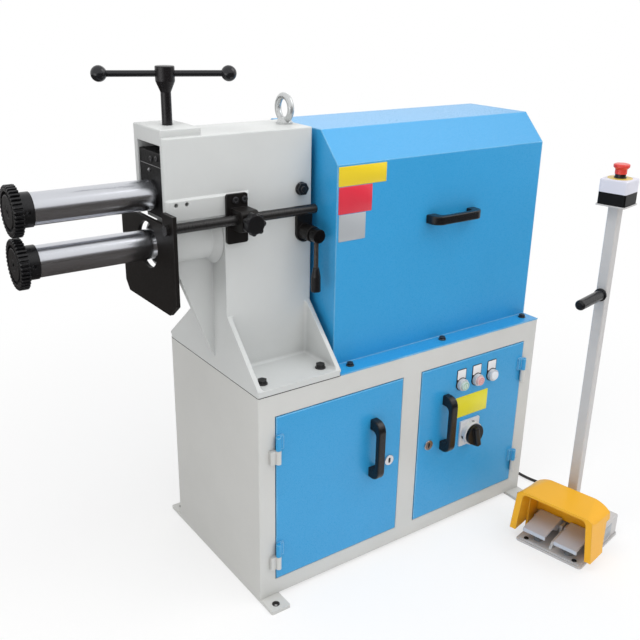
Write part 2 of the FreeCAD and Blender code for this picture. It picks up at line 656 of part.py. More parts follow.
def shift_lever():
    hub = rod_y(COL_Y0 - 43, COL_Y0 + 16, LEVER_X, LEVER_Z, LEVER_HUB_R)
    cap = rod_y(COL_Y0 - 64, COL_Y0 - 42.3, LEVER_X, LEVER_Z, 15)
    cap = round_edges(cap, 2.0, lambda e: e.CenterOfMass.y < COL_Y0 - 63.5)
    pin = rod_y(COL_Y0 + 15, COL_Y0 + 31, LEVER_X, LEVER_Z + ECCENTRIC, ECC_PIN_R)
    arm = rod_z(LEVER_TIP_Z - 30, LEVER_Z - 10, LEVER_X, LEVER_ARM_Y, 5)
    return join([hub, cap, pin, arm])


def lever_grip():
    neck = Part.makeCone(10.3, 6.5, 20, V(LEVER_X, LEVER_ARM_Y, LEVER_TIP_Z - 20), Z_AXIS)
    body = Part.makeCone(10.8, 10.3, 33, V(LEVER_X, LEVER_ARM_Y, LEVER_TIP_Z - 53), Z_AXIS)
    grip = round_edges(join([neck, body]), 1.5, lambda e: e.CenterOfMass.z < LEVER_TIP_Z - 52.5)
    return grip.cut(rod_z(LEVER_TIP_Z - 30, LEVER_TIP_Z + 1, LEVER_X, LEVER_ARM_Y, 5 + RUN))


def stop_plate():
    y0, y1 = -133.0, 110.0
    z0, top, tab = 684.0, 865.0, 889.0
    outline = [(y0, z0 + 29), (y0, tab), (y0 + 46, tab), (y0 + 46, top), (y1, top), (y1, z0 + 20), (y1 - 17, z0),
               (y0 + 32, z0 + 3)]
    plate = prism_x(outline, STOP_X0, STOP_X1)
    hole = rod_x(STOP_X0 - 1, STOP_X1 + 1, SHAFT_Y, LOWER_Z, 47)
    return plate.cut([hole, rod_x(STOP_X0 - 1, STOP_X1 + 1, ROD_Y, ROD_Z, 6)])


def gauge_rod():
    bar = rod_x(STOP_X1, ROD_X1, ROD_Y, ROD_Z, ROD_R)
    bar = round_edges(bar, 1.5, lambda e: e.CenterOfMass.x > ROD_X1 - 0.1)
    nut = rod_x(STOP_X1, STOP_X1 + 6, ROD_Y, ROD_Z, 13)
    end = rod_x(STOP_X0 - 6, STOP_X1 + 1, ROD_Y, ROD_Z, 6)
    head = moved(turned(hexagon(19, 0, 7, 0, 0), 90, Y_AXIS), STOP_X0 - 7, ROD_Y, ROD_Z)
    return join([bar, nut, end, head])


def rod_bracket():
    back = COL_Y0 - FACING_T
    plate = box(COL_X0, COL_X0 + 48, back - 6, back, 806, 907)
    plate = round_edges(plate, 5.0, lambda e: along(e, Y_AXIS))
    packing = box(COL_X0 + 2, COL_X0 + 46, back - 1, COL_Y0, 810, HEAD_Z0)
    block = box(BRACKET_X0, BRACKET_X1, BRACKET_Y0, back - 5, ROD_Z - 23, ROD_Z + 19)
    block = round_edges(block, 9.0, lambda e: along(e, X_AXIS) and e.CenterOfMass.y < BRACKET_Y0 + 1)
    body = join([plate, packing, block])
    return body.cut([rod_x(BRACKET_X0 - 1, BRACKET_X1 + 1, ROD_Y, ROD_Z, ROD_R + RUN),
                     rod_y(BRACKET_Y0 - 1, ROD_Y - ROD_R + 2, KNOB_X, KNOB_Z, 4 + RUN)])


def star_knob():
    lobes = 7
    body = rod_y(KNOB_Y - 15, KNOB_Y, KNOB_X, KNOB_Z, 19)
    bumps = []
    for k in range(lobes):
        a = math.radians(360 / lobes * k)
        bumps.append(rod_y(KNOB_Y - 14, KNOB_Y - 1, KNOB_X + 17.5 * math.cos(a), KNOB_Z + 17.5 * math.sin(a), 5.7))
    hub = rod_y(KNOB_Y - 1, BRACKET_Y0 - 0.5, KNOB_X, KNOB_Z, 9)
    stud = rod_y(BRACKET_Y0 - 1, ROD_Y - ROD_R - 0.5, KNOB_X, KNOB_Z, 4)
    return join([body] + bumps + [hub, stud])


# Rear hood and the drive inside it

def hood_outline(inset):
    slope = inset * HOOD_SLOPE
    return [(HOOD_Y0 + inset, CAB_TOP - 1 if inset else CAB_TOP), (HOOD_Y0 + inset, HOOD_SHOULDER - slope),
            (HOOD_TOP_Y0 + slope, HOOD_TOP - inset), (HOOD_TOP_Y1 - slope, HOOD_TOP - inset),
            (HOOD_Y1 - inset, HOOD_SHOULDER - slope), (HOOD_Y1 - inset, CAB_TOP - 1 if inset else CAB_TOP)]


def rear_hood():
    t = HOOD_SHEET
    shell = prism_x(hood_outline(0), HOOD_X0, HOOD_X1)
    flange = box(FLANGE_X0, HOOD_X1, -HALF_D, HALF_D, CAB_TOP, CAB_TOP + FLANGE_T)
    body = join([shell, flange])
    body = body.cut(prism_x(hood_outline(t), HOOD_X0 + t, HOOD_X1 - t))
    slot = box(HOOD_X0 - 1, HOOD_X0 + t + 1, SHAFT_Y - 40, SHAFT_Y + 40, 768, 950)
    holes = [rod_z(CAB_TOP - 1, CAB_TOP + 5, x, y, 4.5) for x in HOOD_BOLTS_X for y in HOOD_BOLTS_Y]
    return body.cut([slot] + holes)


def drive_motor():
    z = PINION_Z
    flange = rod_x(108, 120, SHAFT_Y, z, 98)
    body = rod_x(119, 330, SHAFT_Y, z, 80)
    fins = [box(135, 320, SHAFT_Y - 86, SHAFT_Y + 86, z + k * 14 - 2, z + k * 14 + 2) for k in (-2, -1, 0, 1, 2)]
    cover = rod_x(329, 386, SHAFT_Y, z, 84)
    cover = round_edges(cover, 10.0, lambda e: e.CenterOfMass.x > 385.5)
    top = box(170, 270, SHAFT_Y - 50, SHAFT_Y + 50, z + 70, z + 128)
    return join([flange, body, cover, top] + fins)


def gearbox():
    z = PINION_Z
    case = box(-90, 108, SHAFT_Y - 85, SHAFT_Y + 85, z - 90, z + 90)
    case = round_edges(case, 14.0, lambda e: along(e, X_AXIS))
    boss = rod_x(-104, -89, SHAFT_Y, z, 42)
    return join([case, boss]).cut(rod_x(-105, -58, SHAFT_Y, z, 14 + RUN))


def motor_stand():
    top = PINION_Z - 90
    plates = [box(-100, 106, SHAFT_Y - 95, SHAFT_Y + 95, top - 12, top),
              box(-110, 128, SHAFT_Y - 110, SHAFT_Y + 110, CAB_TOP, CAB_TOP + 10),
              box(-100, 106, SHAFT_Y - 90, SHAFT_Y - 80, CAB_TOP + 9, top - 11),
              box(-100, 106, SHAFT_Y + 80, SHAFT_Y + 90, CAB_TOP + 9, top - 11)]
    return join(plates)


# Door fittings and the electrical gear

def button_bezels():
    rings = []
    for x in BUTTON_X:
        ring = rod_y(DOOR_FACE_Y - 12, DOOR_FACE_Y, x, BUTTON_Z, 15)
        ring = round_edges(ring, 1.5, lambda e: e.CenterOfMass.y < DOOR_FACE_Y - 11.9)
        tube = rod_y(DOOR_FACE_Y - 1, DOOR_FACE_Y + 34, x, BUTTON_Z, 11.1)
        ring = join([ring, tube])
        rings.append(ring.cut([rod_y(DOOR_FACE_Y - 13, DOOR_FACE_Y - 3, x, BUTTON_Z, 11.8),
                               rod_y(DOOR_FACE_Y - 4, DOOR_FACE_Y + 32, x, BUTTON_Z, 9.2)]))
    return Part.makeCompound(rings)


def push_button(x):
    cap = rod_y(DOOR_FACE_Y - 18, DOOR_FACE_Y - 8, x, BUTTON_Z, 11.4)
    cap = round_edges(cap, 1.2, lambda e: e.CenterOfMass.y < DOOR_FACE_Y - 17.9)
    return join([cap, rod_y(DOOR_FACE_Y - 9, DOOR_FACE_Y + 25, x, BUTTON_Z, 8.9)])


def panel_lamp():
    x = BUTTON_X[2]
    lens = rod_y(DOOR_FACE_Y - 16, DOOR_FACE_Y - 3, x, BUTTON_Z, 11.5)
    lens = round_edges(lens, 3.0, lambda e: e.CenterOfMass.y < DOOR_FACE_Y - 15.9)
    return join([lens, rod_y(DOOR_FACE_Y - 4, DOOR_FACE_Y + 31, x, BUTTON_Z, 8.8)])


def isolator_base():
    front = DOOR_FACE_Y - ISOLATOR_RISE
    plate = box(ISOLATOR_X - 32.5, ISOLATOR_X + 32.5, DOOR_FACE_Y - 5, DOOR_FACE_Y, ISOLATOR_Z - 34.5,
                ISOLATOR_Z + 34.5)
    plate = round_edges(plate, 2.0, lambda e: along(e, Y_AXIS))
    ring = rod_y(front, DOOR_FACE_Y - 4, ISOLATOR_X, ISOLATOR_Z, 30)
    ring = round_edges(ring, 1.5, lambda e: e.CenterOfMass.y < front + 0.1)
    switch = box(ISOLATOR_X - 28, ISOLATOR_X + 28, DOOR_FACE_Y + DOOR_SKIN, DOOR_FACE_Y + 52, ISOLATOR_Z - 30,
                 ISOLATOR_Z + 30)
    neck = rod_y(DOOR_FACE_Y - 1, DOOR_FACE_Y + DOOR_SKIN + 1, ISOLATOR_X, ISOLATOR_Z, 5.8)
    return join([plate, ring, switch, neck]).cut(rod_y(front - 1, DOOR_FACE_Y + 20, ISOLATOR_X, ISOLATOR_Z, 4 + RUN))


def isolator_knob():
    disc_r, tip, point_turn = 27.0, 38.0, -14.0
    y = DOOR_FACE_Y - ISOLATOR_RISE - 0.4
    disc = rod_y(y - 8, y, ISOLATOR_X, ISOLATOR_Z, disc_r)
    reach = disc_r ** 2 / tip
    half = disc_r * math.sqrt(1 - (disc_r / tip) ** 2)
    beak = [(ISOLATOR_X - half, ISOLATOR_Z - reach), (ISOLATOR_X - 2, ISOLATOR_Z - tip + 2),
            (ISOLATOR_X + 2, ISOLATOR_Z - tip + 2), (ISOLATOR_X + half, ISOLATOR_Z - reach), (ISOLATOR_X, ISOLATOR_Z)]
    face = join([disc, prism_y(beak, y - 8, y)])
    face = round_edges(face, 1.5, lambda e: e.CenterOfMass.y < y - 7.9)
    grip = box(ISOLATOR_X - 7, ISOLATOR_X + 7, y - 18, y - 6, ISOLATOR_Z - 31, ISOLATOR_Z + 24)
    grip = round_edges(grip, 4.0, lambda e: along(e, Y_AXIS) or e.CenterOfMass.y < y - 17.9)
    shaft = rod_y(y - 1, DOOR_FACE_Y + 18, ISOLATOR_X, ISOLATOR_Z, 4)
    knob = join([face, grip, shaft])
    return turned(knob, point_turn, Y_AXIS, V(ISOLATOR_X, 0, ISOLATOR_Z))


def control_gear():
    back = HALF_D - SHEET
    plate = box(40, 380, back - 14, back - 11, 60, 450)
    posts = [rod_y(back - 12, back, x, z, 6) for x in (55, 365) for z in (75, 435)]
    drive = box(70, 210, back - 134, back - 13, 210, 420)
    breakers = box(240, 360, back - 82, back - 13, 330, 415)
    contactors = [box(x, x + 45, back - 95, back - 13, 210, 290) for x in (240, 292)]
    strip = box(70, 360, back - 55, back - 13, 90, 130)
    return join([plate, drive, breakers, strip] + contactors + posts)


def cable_gland():
    body = rod_x(HALF_L - 14, HALF_L + 1, GLAND_Y, GLAND_Z, 8)
    nut = rod_x(HALF_L - 8, HALF_L - SHEET, GLAND_Y, GLAND_Z, 12)
    dome = Part.makeCone(12, 7, 18, V(HALF_L, GLAND_Y, GLAND_Z), X_AXIS)
    return join([body, nut, dome]).cut(rod_x(HALF_L - 20, HALF_L + 20, GLAND_Y, GLAND_Z, CABLE_R + 0.3))


# Pedal stand, built in its own frame: S to the right along the base, T to the back

def in_stand(shape):
    shape = turned(shape, STAND_TURN, Z_AXIS)
    shape.translate(STAND_O)
    return shape


def stand_point(s, t, z):
    a = math.radians(STAND_TURN)
    return V(STAND_O.x + s * math.cos(a) - t * math.sin(a), STAND_O.y + s * math.sin(a) + t * math.cos(a), z)


def pedal_base():
    half = PEDAL_BASE_W / 2
    rim = round_edges(box(-half, half, 0, PEDAL_BASE_D, 0, PLATE_T - 3), 8.0, lambda e: along(e, Z_AXIS))
    tray = box(-half + 6, half - 6, 6, PEDAL_BASE_D - 6, PLATE_T - 4, PLATE_T)
    plate = join([rim, round_edges(tray, 6.0, lambda e: along(e, Z_AXIS))])
    housing = box(-half + 4, half - 4, HOUSING_T0, PEDAL_BASE_D, PLATE_T - 1, HOUSING_H)
    housing = round_edges(housing, 4.0, lambda e: e.CenterOfMass.z > HOUSING_H - 0.1 or along(e, Z_AXIS))
    room = box(-half + 9, half - 9, HOUSING_T0 + 5, PEDAL_BASE_D - 5, PLATE_T, HOUSING_H - 5)
    housing = housing.cut(room)
    rib = prism_x([(14, PLATE_T - 1), (26, 24), (HOUSING_T0 + 1, 36), (HOUSING_T0 + 1, PLATE_T - 1)], -3.5, 3.5)
    ears = []
    for s in (-PEDAL_GAP / 2 - PEDAL_W - 9, -PEDAL_GAP / 2 + 3, PEDAL_GAP / 2 - 9, PEDAL_GAP / 2 + PEDAL_W + 3):
        ears.append(box(s, s + 6, PEDAL_PIVOT_T - 9, HOUSING_T0 + 1, PLATE_T - 1, PEDAL_PIVOT_Z + 8))
    pins = [rod_x(s0, s0 + PEDAL_W + 12, PEDAL_PIVOT_T, PEDAL_PIVOT_Z, PEDAL_PIN_R)
            for s0 in (-PEDAL_GAP / 2 - PEDAL_W - 6, PEDAL_GAP / 2 - 6)]
    body = join([plate, housing, rib] + ears + pins)
    cuts = [rod_z(-1, PLATE_T + 1, s, 14, 5) for s in (-65, 65)]
    cuts += [rod_y(PEDAL_BASE_D - 6, PEDAL_BASE_D + 1, CABLE_S, CABLE_Z, 8.2)]
    return in_stand(body.cut(cuts))


def pedal(side):
    s0 = PEDAL_GAP / 2 if side > 0 else -PEDAL_GAP / 2 - PEDAL_W
    s1 = s0 + PEDAL_W
    front, back = 4.0, 91.0
    z_front, z_back = 38.0, 50.0
    tread = prism_x([(front, z_front), (front, z_front + 4), (back, z_back + 4), (back, z_back)], s0, s1)
    lip = box(s0, s1, front, front + 4, z_front - 6, z_front + 4)
    cheeks = []
    for s in (s0 + 1, s1 - 5):
        outline = [(PEDAL_PIVOT_T - 40, 42), (PEDAL_PIVOT_T - 12, 26), (PEDAL_PIVOT_T + 6, 27), (PEDAL_PIVOT_T + 6, 50)]
        cheeks.append(prism_x(outline, s, s + 4))
    body = join([tread, lip] + cheeks)
    return in_stand(body.cut(rod_x(s0 - 1, s1 + 1, PEDAL_PIVOT_T, PEDAL_PIVOT_Z, PEDAL_PIN_R + RUN)))


def guard_wire(t, corner_s, corner_z, bulge, inset, top_inset):
    roof_z = GUARD_H - top_inset
    halves = []
    for sign in (-1, 1):
        foot = V(sign * (109 - inset), t, 26)
        side = V(sign * (99.5 - inset), t, roof_z - corner_z)
        roof = V(sign * (99 - inset - corner_s), t, roof_z)
        halves.append((foot, side, (side + roof) * 0.5 + V(sign * bulge, 0, bulge), roof))
    (foot_l, side_l, mid_l, roof_l), (foot_r, side_r, mid_r, roof_r) = halves
    edges = [Part.makeLine(foot_l, side_l), Part.Arc(side_l, mid_l, roof_l).toShape(), Part.makeLine(roof_l, roof_r),
             Part.Arc(roof_r, mid_r, side_r).toShape(), Part.makeLine(side_r, foot_r), Part.makeLine(foot_r, foot_l)]
    return Part.Wire(edges)


def pedal_guard():
    t0, step_t, t1 = 4.0, 68.0, 102.0
    step_z = 102.0
    outer = Part.makeLoft([guard_wire(t0, 16, 16, 3.3, 0, 0), guard_wire(t1, 40, 20, 3, 0, 0)], True, True)
    outer = outer.cut(box(-120, 120, step_t, t1 + 1, 20, step_z))
    inner = Part.makeLoft([guard_wire(t0 - 1, 11, 11, 2.2, 16, 7), guard_wire(t1 - 6, 30, 16, 2, 14, 7)], True, True)
    inner = inner.fuse(box(-92, 92, t0 - 1, step_t + 1, 20, 40))
    guard = outer.cut(inner)
    skirts = [box(s, s + 6, step_t - 14, HOUSING_T0 - 1, 12, step_z + 4) for s in (-92.0, 86.0)]
    wall = box(-91, 91, t1 - 6, t1, 46, step_z + 4)
    feet = box(-80, 80, t1 - 6, HOUSING_T0 + 12, HOUSING_H, HOUSING_H + 4)
    return in_stand(join([guard, wall, feet] + skirts))


def stand_post():
    h = POST_W / 2
    post = box(POST_S - h, POST_S + h, POST_T - h, POST_T + h, HOUSING_H, POST_TOP)
    post = round_edges(post, 2.5, lambda e: along(e, Z_AXIS))
    post = post.cut(box(POST_S - h + 2, POST_S + h - 2, POST_T - h + 2, POST_T + h - 2, HOUSING_H + 5, POST_TOP - 3))
    foot = box(POST_S - 26, POST_S + 26, POST_T - 22, POST_T + 26, HOUSING_H, HOUSING_H + 5)
    cap = box(POST_S - 34, POST_S + 34, POST_T - 34, POST_T + 34, POST_TOP, POST_TOP + 3)
    cap = round_edges(cap, 3.0, lambda e: along(e, Z_AXIS))
    return in_stand(join([post, foot, cap]))


def post_grip():
    face = POST_T - POST_W / 2
    bar = Part.makeCylinder(12, 106, V(POST_S, face, GRIP_Z), V(0, -1, 0))
    bar = round_edges(bar, 5.0, lambda e: e.CenterOfMass.y < face - 105)
    flange = Part.makeCylinder(15, 4, V(POST_S, face, GRIP_Z), V(0, -1, 0))
    return in_stand(join([bar, flange]))


def estop_box():
    h = BOX_W / 2
    z0 = POST_TOP + 3
    body = box(POST_S - h, POST_S + h, POST_T - h, POST_T + h, z0, z0 + ESTOP_BASE_H)
    body = round_edges(body, 4.0, lambda e: along(e, Z_AXIS))
    return in_stand(body.cut(box(POST_S - h + 3, POST_S + h - 3, POST_T - h + 3, POST_T + h - 3, z0 + 3, z0 + 40)))


def estop_cover():
    h = BOX_W / 2
    z0 = POST_TOP + 3 + ESTOP_BASE_H
    z1 = z0 + ESTOP_COVER_H
    body = box(POST_S - h, POST_S + h, POST_T - h, POST_T + h, z0, z1)
    body = round_edges(body, 4.0, lambda e: along(e, Z_AXIS) or e.CenterOfMass.z > z1 - 0.1)
    body = body.cut(box(POST_S - h + 3, POST_S + h - 3, POST_T - h + 3, POST_T + h - 3, z0 - 1, z1 - 3))
    ring = rod_z(z1 - 1, z1 + 3, POST_S, POST_T, 13.4)
    return in_stand(join([body, ring]).cut(rod_z(z1 - 5, z1 + 8, POST_S, POST_T, ESTOP_STEM_R + RUN)))


def estop_button():
    z = POST_TOP + 3 + ESTOP_BASE_H + ESTOP_COVER_H
    stem = rod_z(z - 14, z + 12, POST_S, POST_T, ESTOP_STEM_R)
    neck = rod_z(z + 9.5, z + 20, POST_S, POST_T, 13)
    flare = Part.makeCone(13, 17.8, 5, V(POST_S, POST_T, z + 19.5), Z_AXIS)
    cap = rod_z(z + 24.5, z + 31.5, POST_S, POST_T, 17.8)
    cap = round_edges(cap, 3.4, lambda e: e.CenterOfMass.z > z + 31.4)
    return in_stand(join([stem, neck, flare, cap]))


def cable_route():
    start = stand_point(CABLE_S, PEDAL_BASE_D - 4, CABLE_Z)
    out = stand_point(CABLE_S, PEDAL_BASE_D + 88, 12)
    return [start, out, V(507, -262, 4.6), V(476, -178, 4.4), V(484, -88, 4.6), V(508, -8, 14),
            V(500, GLAND_Y, GLAND_Z), V(HALF_L - 6, GLAND_Y, GLAND_Z)]


def pedal_cord():
    points = cable_route()
    edges = []
    last = points[0]
    radii = []
    for before, corner, after in zip(points, points[1:], points[2:]):
        a, b = before - corner, after - corner
        half_turn = (math.pi - a.getAngle(b)) / 2
        reach = 0.45 * min(a.Length, b.Length)
        radii.append(round(reach / math.tan(half_turn), 1))
        p, q = corner + a.normalize() * reach, corner + b.normalize() * reach
        centre = corner + (a + b).normalize() * (radii[-1] / math.cos(half_turn))
        middle = centre + (corner - centre).normalize() * radii[-1]
        edges.append(Part.makeLine(last, p))
        edges.append(Part.Arc(p, middle, q).toShape())
        last = q
    edges.append(Part.makeLine(last, points[-1]))
    path = Part.Wire(edges)
    start = Part.Wire(Part.makeCircle(CABLE_R, points[0], points[1] - points[0]))
    tube = path.makePipeShell([start], True, False)
    length = sum(e.Length for e in edges)
    print("cord length", round(length, 1), "radii", radii, "volume ratio",
          round(tube.Volume / (length * math.pi * CABLE_R ** 2), 4), "lowest", round(tube.BoundBox.ZMin, 2))
    return tube


def main():
    export("cabinet_shell", cabinet_shell())
    export("foot_strips", foot_strips())
    export("hinge_knuckles", hinge_knuckles())
    export("left_door", door_panel(-1))
    export("right_door", door_panel(1))
    export("left_lock", lock(-1))
    export("right_lock", lock(1))
    handle = bow_handle()
    export("left_door_handle", moved(handle, LEFT_HANDLE_X, DOOR_FACE_Y, HANDLE_Z))
    export("right_door_handle", moved(handle, RIGHT_HANDLE_X, DOOR_FACE_Y, HANDLE_Z))
    export("hood_handle", moved(turned(handle, 90, Y_AXIS), HOOD_HANDLE_X, HOOD_Y0, HOOD_HANDLE_Z))
    export("column_casting", column_casting())
    export("hex_bolts", Part.makeCompound(column_bolts() + hood_bolts()))
    export("eye_bolt", eye_bolt())
    export("pivot_pins", pivot_pins())
    export("upper_arm", upper_arm())
    export("thrust_block", thrust_block())
    export("feed_screw", feed_screw())
    export("tommy_bar", tommy_bar())
    export("upper_shaft", main_shaft(UPPER_Z, SYNC_X1 + 4, UPPER_TAIL_R))
    export("lower_shaft", main_shaft(LOWER_Z, DRIVE_X1 + 4, LOWER_TAIL_R))
    export("upper_roll", toothed_roll(UPPER_Z, 0.0))
    export("lower_roll", toothed_roll(LOWER_Z, 0.5))
    export("upper_collar", collar(UPPER_Z))
    export("lower_collar", collar(LOWER_Z))
    export("upper_roll_screw", roll_screw(UPPER_Z))
    export("lower_roll_screw", roll_screw(LOWER_Z))
    export("upper_gear", gear(SYNC_TEETH, SYNC_X0, SYNC_X1, UPPER_Z, UPPER_TAIL_R, 0.0, TOOTH_SLACK))
    export("lower_gear", gear(SYNC_TEETH, SYNC_X0 - SHIFT, SYNC_X1 + SHIFT, LOWER_Z, LOWER_TAIL_R, 0.5, TOOTH_SLACK))
    export("drive_gear", drive_gear())
    export("pinion", pinion())
    export("lower_sleeve", lower_sleeve())
    export("lever_housing", lever_housing())
    export("shift_lever", shift_lever())
    export("lever_grip", lever_grip())
    export("stop_plate", stop_plate())
    export("gauge_rod", gauge_rod())
    export("rod_bracket", rod_bracket())
    export("star_knob", star_knob())
    export("rear_hood", rear_hood())
    export("drive_motor", drive_motor())
    export("gearbox", gearbox())
    export("motor_stand", motor_stand())
    export("button_bezels", button_bezels())
    export("start_button", push_button(BUTTON_X[0]))
    export("stop_button", push_button(BUTTON_X[1]))
    export("panel_lamp", panel_lamp())
    export("isolator_base", isolator_base())
    export("isolator_knob", isolator_knob())
    export("control_gear", control_gear())
    export("cable_gland", cable_gland())
    export("pedal_base", pedal_base())
    export("left_pedal", pedal(-1))
    export("right_pedal", pedal(1))
    export("pedal_guard", pedal_guard())
    export("stand_post", stand_post())
    export("post_grip", post_grip())
    export("estop_box", estop_box())
    export("estop_cover", estop_cover())
    export("estop_button", estop_button())
    export("pedal_cord", pedal_cord())


main()
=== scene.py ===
# Electric bead roller with a loose foot pedal and emergency stop stand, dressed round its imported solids.
# Metres, +Z up. +X runs along the shafts from the rolls to the motor, and the doors face -Y.

import math

import bmesh
import bpy
from mathutils import Matrix, Vector


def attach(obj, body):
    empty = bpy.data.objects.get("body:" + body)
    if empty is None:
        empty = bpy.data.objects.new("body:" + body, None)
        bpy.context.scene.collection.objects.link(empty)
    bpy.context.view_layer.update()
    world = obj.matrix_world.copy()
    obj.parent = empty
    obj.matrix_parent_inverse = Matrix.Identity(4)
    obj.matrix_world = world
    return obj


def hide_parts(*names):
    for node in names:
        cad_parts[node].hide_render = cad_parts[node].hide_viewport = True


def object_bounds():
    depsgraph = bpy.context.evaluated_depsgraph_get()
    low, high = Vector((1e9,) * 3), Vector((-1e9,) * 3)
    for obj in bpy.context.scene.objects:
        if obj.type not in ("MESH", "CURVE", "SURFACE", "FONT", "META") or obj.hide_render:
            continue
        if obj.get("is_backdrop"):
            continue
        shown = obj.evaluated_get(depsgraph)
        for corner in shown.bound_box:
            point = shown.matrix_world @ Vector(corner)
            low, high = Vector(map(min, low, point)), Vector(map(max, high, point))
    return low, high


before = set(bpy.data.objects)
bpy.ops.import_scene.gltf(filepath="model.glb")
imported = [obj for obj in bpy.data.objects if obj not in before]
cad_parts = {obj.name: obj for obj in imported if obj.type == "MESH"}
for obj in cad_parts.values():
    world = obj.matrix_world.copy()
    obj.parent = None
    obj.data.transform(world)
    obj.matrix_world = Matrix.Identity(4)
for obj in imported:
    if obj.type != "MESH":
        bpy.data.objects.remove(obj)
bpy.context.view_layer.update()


# Camera, floor and studio light
# The machine stands on a white studio floor under large soft boxes in front and above, with weaker ones at
# the side and rear. Dark cloths, out of view, lie at the roll end and hang in front, so that bare steel and
# black parts have something dark to reflect, as in a photo studio.

SENSOR_MM = 36.0
LENS_MM = 46.676
FAR_LIMIT = 60.0
CAMERA_PLACE = (-1.1963, -1.4975, 1.2678)
CAMERA_RIGHT = (0.81715, -0.57618, 0.01676)
CAMERA_UP = (0.19536, 0.30419, 0.93236)
CAMERA_BACK = (-0.54231, -0.75861, 0.36114)

AMBIENT_LIGHT = 0.6
FLOOR_RADIUS = 14.0
FLOOR_WHITE = 0.96
SHADOW_FROM, SHADOW_TO = 0.6, 1.9
GLOW_UNDER_THE_MACHINE = 0.6

CLOTH_TONE = (0.085, 0.075, 0.068, 1)
CLOTH_ROUGH = 0.9
FRONT_CLOTH_EDGE = ((-3.6, -0.9, 0.003), (4.2, -0.9, 0.003))
FRONT_CLOTH_FOLDS = ((0, -2.7, 0), (0, 0, 1.75))
SIDE_CLOTH_EDGE = ((-0.425, 5.2, 0.5), (-0.425, -0.9, 0.5))
SIDE_CLOTH_FOLDS = ((0, 0, -0.497), (-3.1, 0, 0), (0, 0, 0.5))


def placed(across, up, out, spot):
    """The place of a thing from the directions of its three axes and from its origin."""
    return Matrix([[across[k], up[k], out[k], spot[k]] for k in range(3)] + [[0, 0, 0, 1]])


camera_data = bpy.data.cameras.new("camera")
camera_data.sensor_width = SENSOR_MM
camera_data.lens = LENS_MM
camera_data.clip_end = FAR_LIMIT
camera = bpy.data.objects.new("camera", camera_data)
bpy.context.collection.objects.link(camera)
bpy.context.scene.camera = camera
camera.matrix_world = placed(CAMERA_RIGHT, CAMERA_UP, CAMERA_BACK, CAMERA_PLACE)
bpy.context.scene.view_settings.view_transform = "Standard"


def soft_box(name, place, aim, width, watts, in_metal=True):
    """A square soft box. Some of them are kept out of what bare metal mirrors."""
    lamp = bpy.data.lights.new(name, "AREA")
    lamp.shape = "SQUARE"
    lamp.size = width
    lamp.energy = watts
    obj = bpy.data.objects.new(name, lamp)
    bpy.context.collection.objects.link(obj)
    turn = (Vector(aim) - Vector(place)).to_track_quat("-Z", "Y")
    obj.matrix_world = Matrix.Translation(place) @ turn.to_matrix().to_4x4()
    obj.visible_glossy = in_metal


soft_box("key_box", (0.2, -3.0, 3.6), aim=(0, 0, 0.6), width=5.0, watts=56.0, in_metal=False)
soft_box("top_box", (1.9, -1.3, 3.2), aim=(0.3, 0, 0.7), width=2.0, watts=23.0)
soft_box("roll_end_box", (-0.9, -0.3, 2.6), aim=(-0.3, 0, 0.8), width=1.0, watts=14.0, in_metal=False)
soft_box("side_box", (-3.0, -0.6, 0.4), aim=(0, 0, 0.4), width=1.6, watts=12.0)
soft_box("rear_box", (2.0, 2.6, 2.6), aim=(0, 0, 0.5), width=1.8, watts=7.0)


def feed(links, socket, value):
    """Joins a socket to another one, or sets it where the value is a number or a colour."""
    if isinstance(value, bpy.types.NodeSocket):
        links.new(value, socket)
    else:
        socket.default_value = value


def reckon(nodes, links, operation, first, second):
    """The result of one sum on two values."""
    made = nodes.new("ShaderNodeMath")
    made.operation = operation
    feed(links, made.inputs[0], first)
    feed(links, made.inputs[1], second)
    return made.outputs[0]


def ramp(nodes, links, value, start, stop, low=0.0, high=1.0, eased=False):
    """Turns the range from start to stop into the range from low to high."""
    made = nodes.new("ShaderNodeMapRange")
    made.interpolation_type = "SMOOTHSTEP" if eased else "LINEAR"
    for socket, number in (("From Min", start), ("From Max", stop), ("To Min", low), ("To Max", high)):
        made.inputs[socket].default_value = number
    links.new(value, made.inputs["Value"])
    return made.outputs[0]


def either_shader(nodes, links, share, first, second):
    """The first shader where the share is 0 and the second where it is 1."""
    made = nodes.new("ShaderNodeMixShader")
    links.new(share, made.inputs["Fac"])
    links.new(first.outputs[0], made.inputs[1])
    links.new(second.outputs[0], made.inputs[2])
    return made.outputs[0]


def seen_directly(nodes, links):
    """1 for what the camera sees directly or in metal or glass, and 0 for light on the object."""
    ray = nodes.new("ShaderNodeLightPath").outputs
    seen = reckon(nodes, links, "MAXIMUM", ray["Is Camera Ray"], ray["Is Glossy Ray"])
    return reckon(nodes, links, "MAXIMUM", seen, ray["Is Transmission Ray"])


world = bpy.data.worlds.new("studio")
world.use_nodes = True
bpy.context.scene.world = world
nodes, links = world.node_tree.nodes, world.node_tree.links
nodes.clear()
ambient = nodes.new("ShaderNodeBackground")
backdrop = nodes.new("ShaderNodeBackground")
for light, strength in ((ambient, AMBIENT_LIGHT), (backdrop, 1.0)):
    light.inputs["Color"].default_value = (1, 1, 1, 1)
    light.inputs["Strength"].default_value = strength
world_out = nodes.new("ShaderNodeOutputWorld")
sky = either_shader(nodes, links, seen_directly(nodes, links), ambient, backdrop)
links.new(sky, world_out.inputs["Surface"])

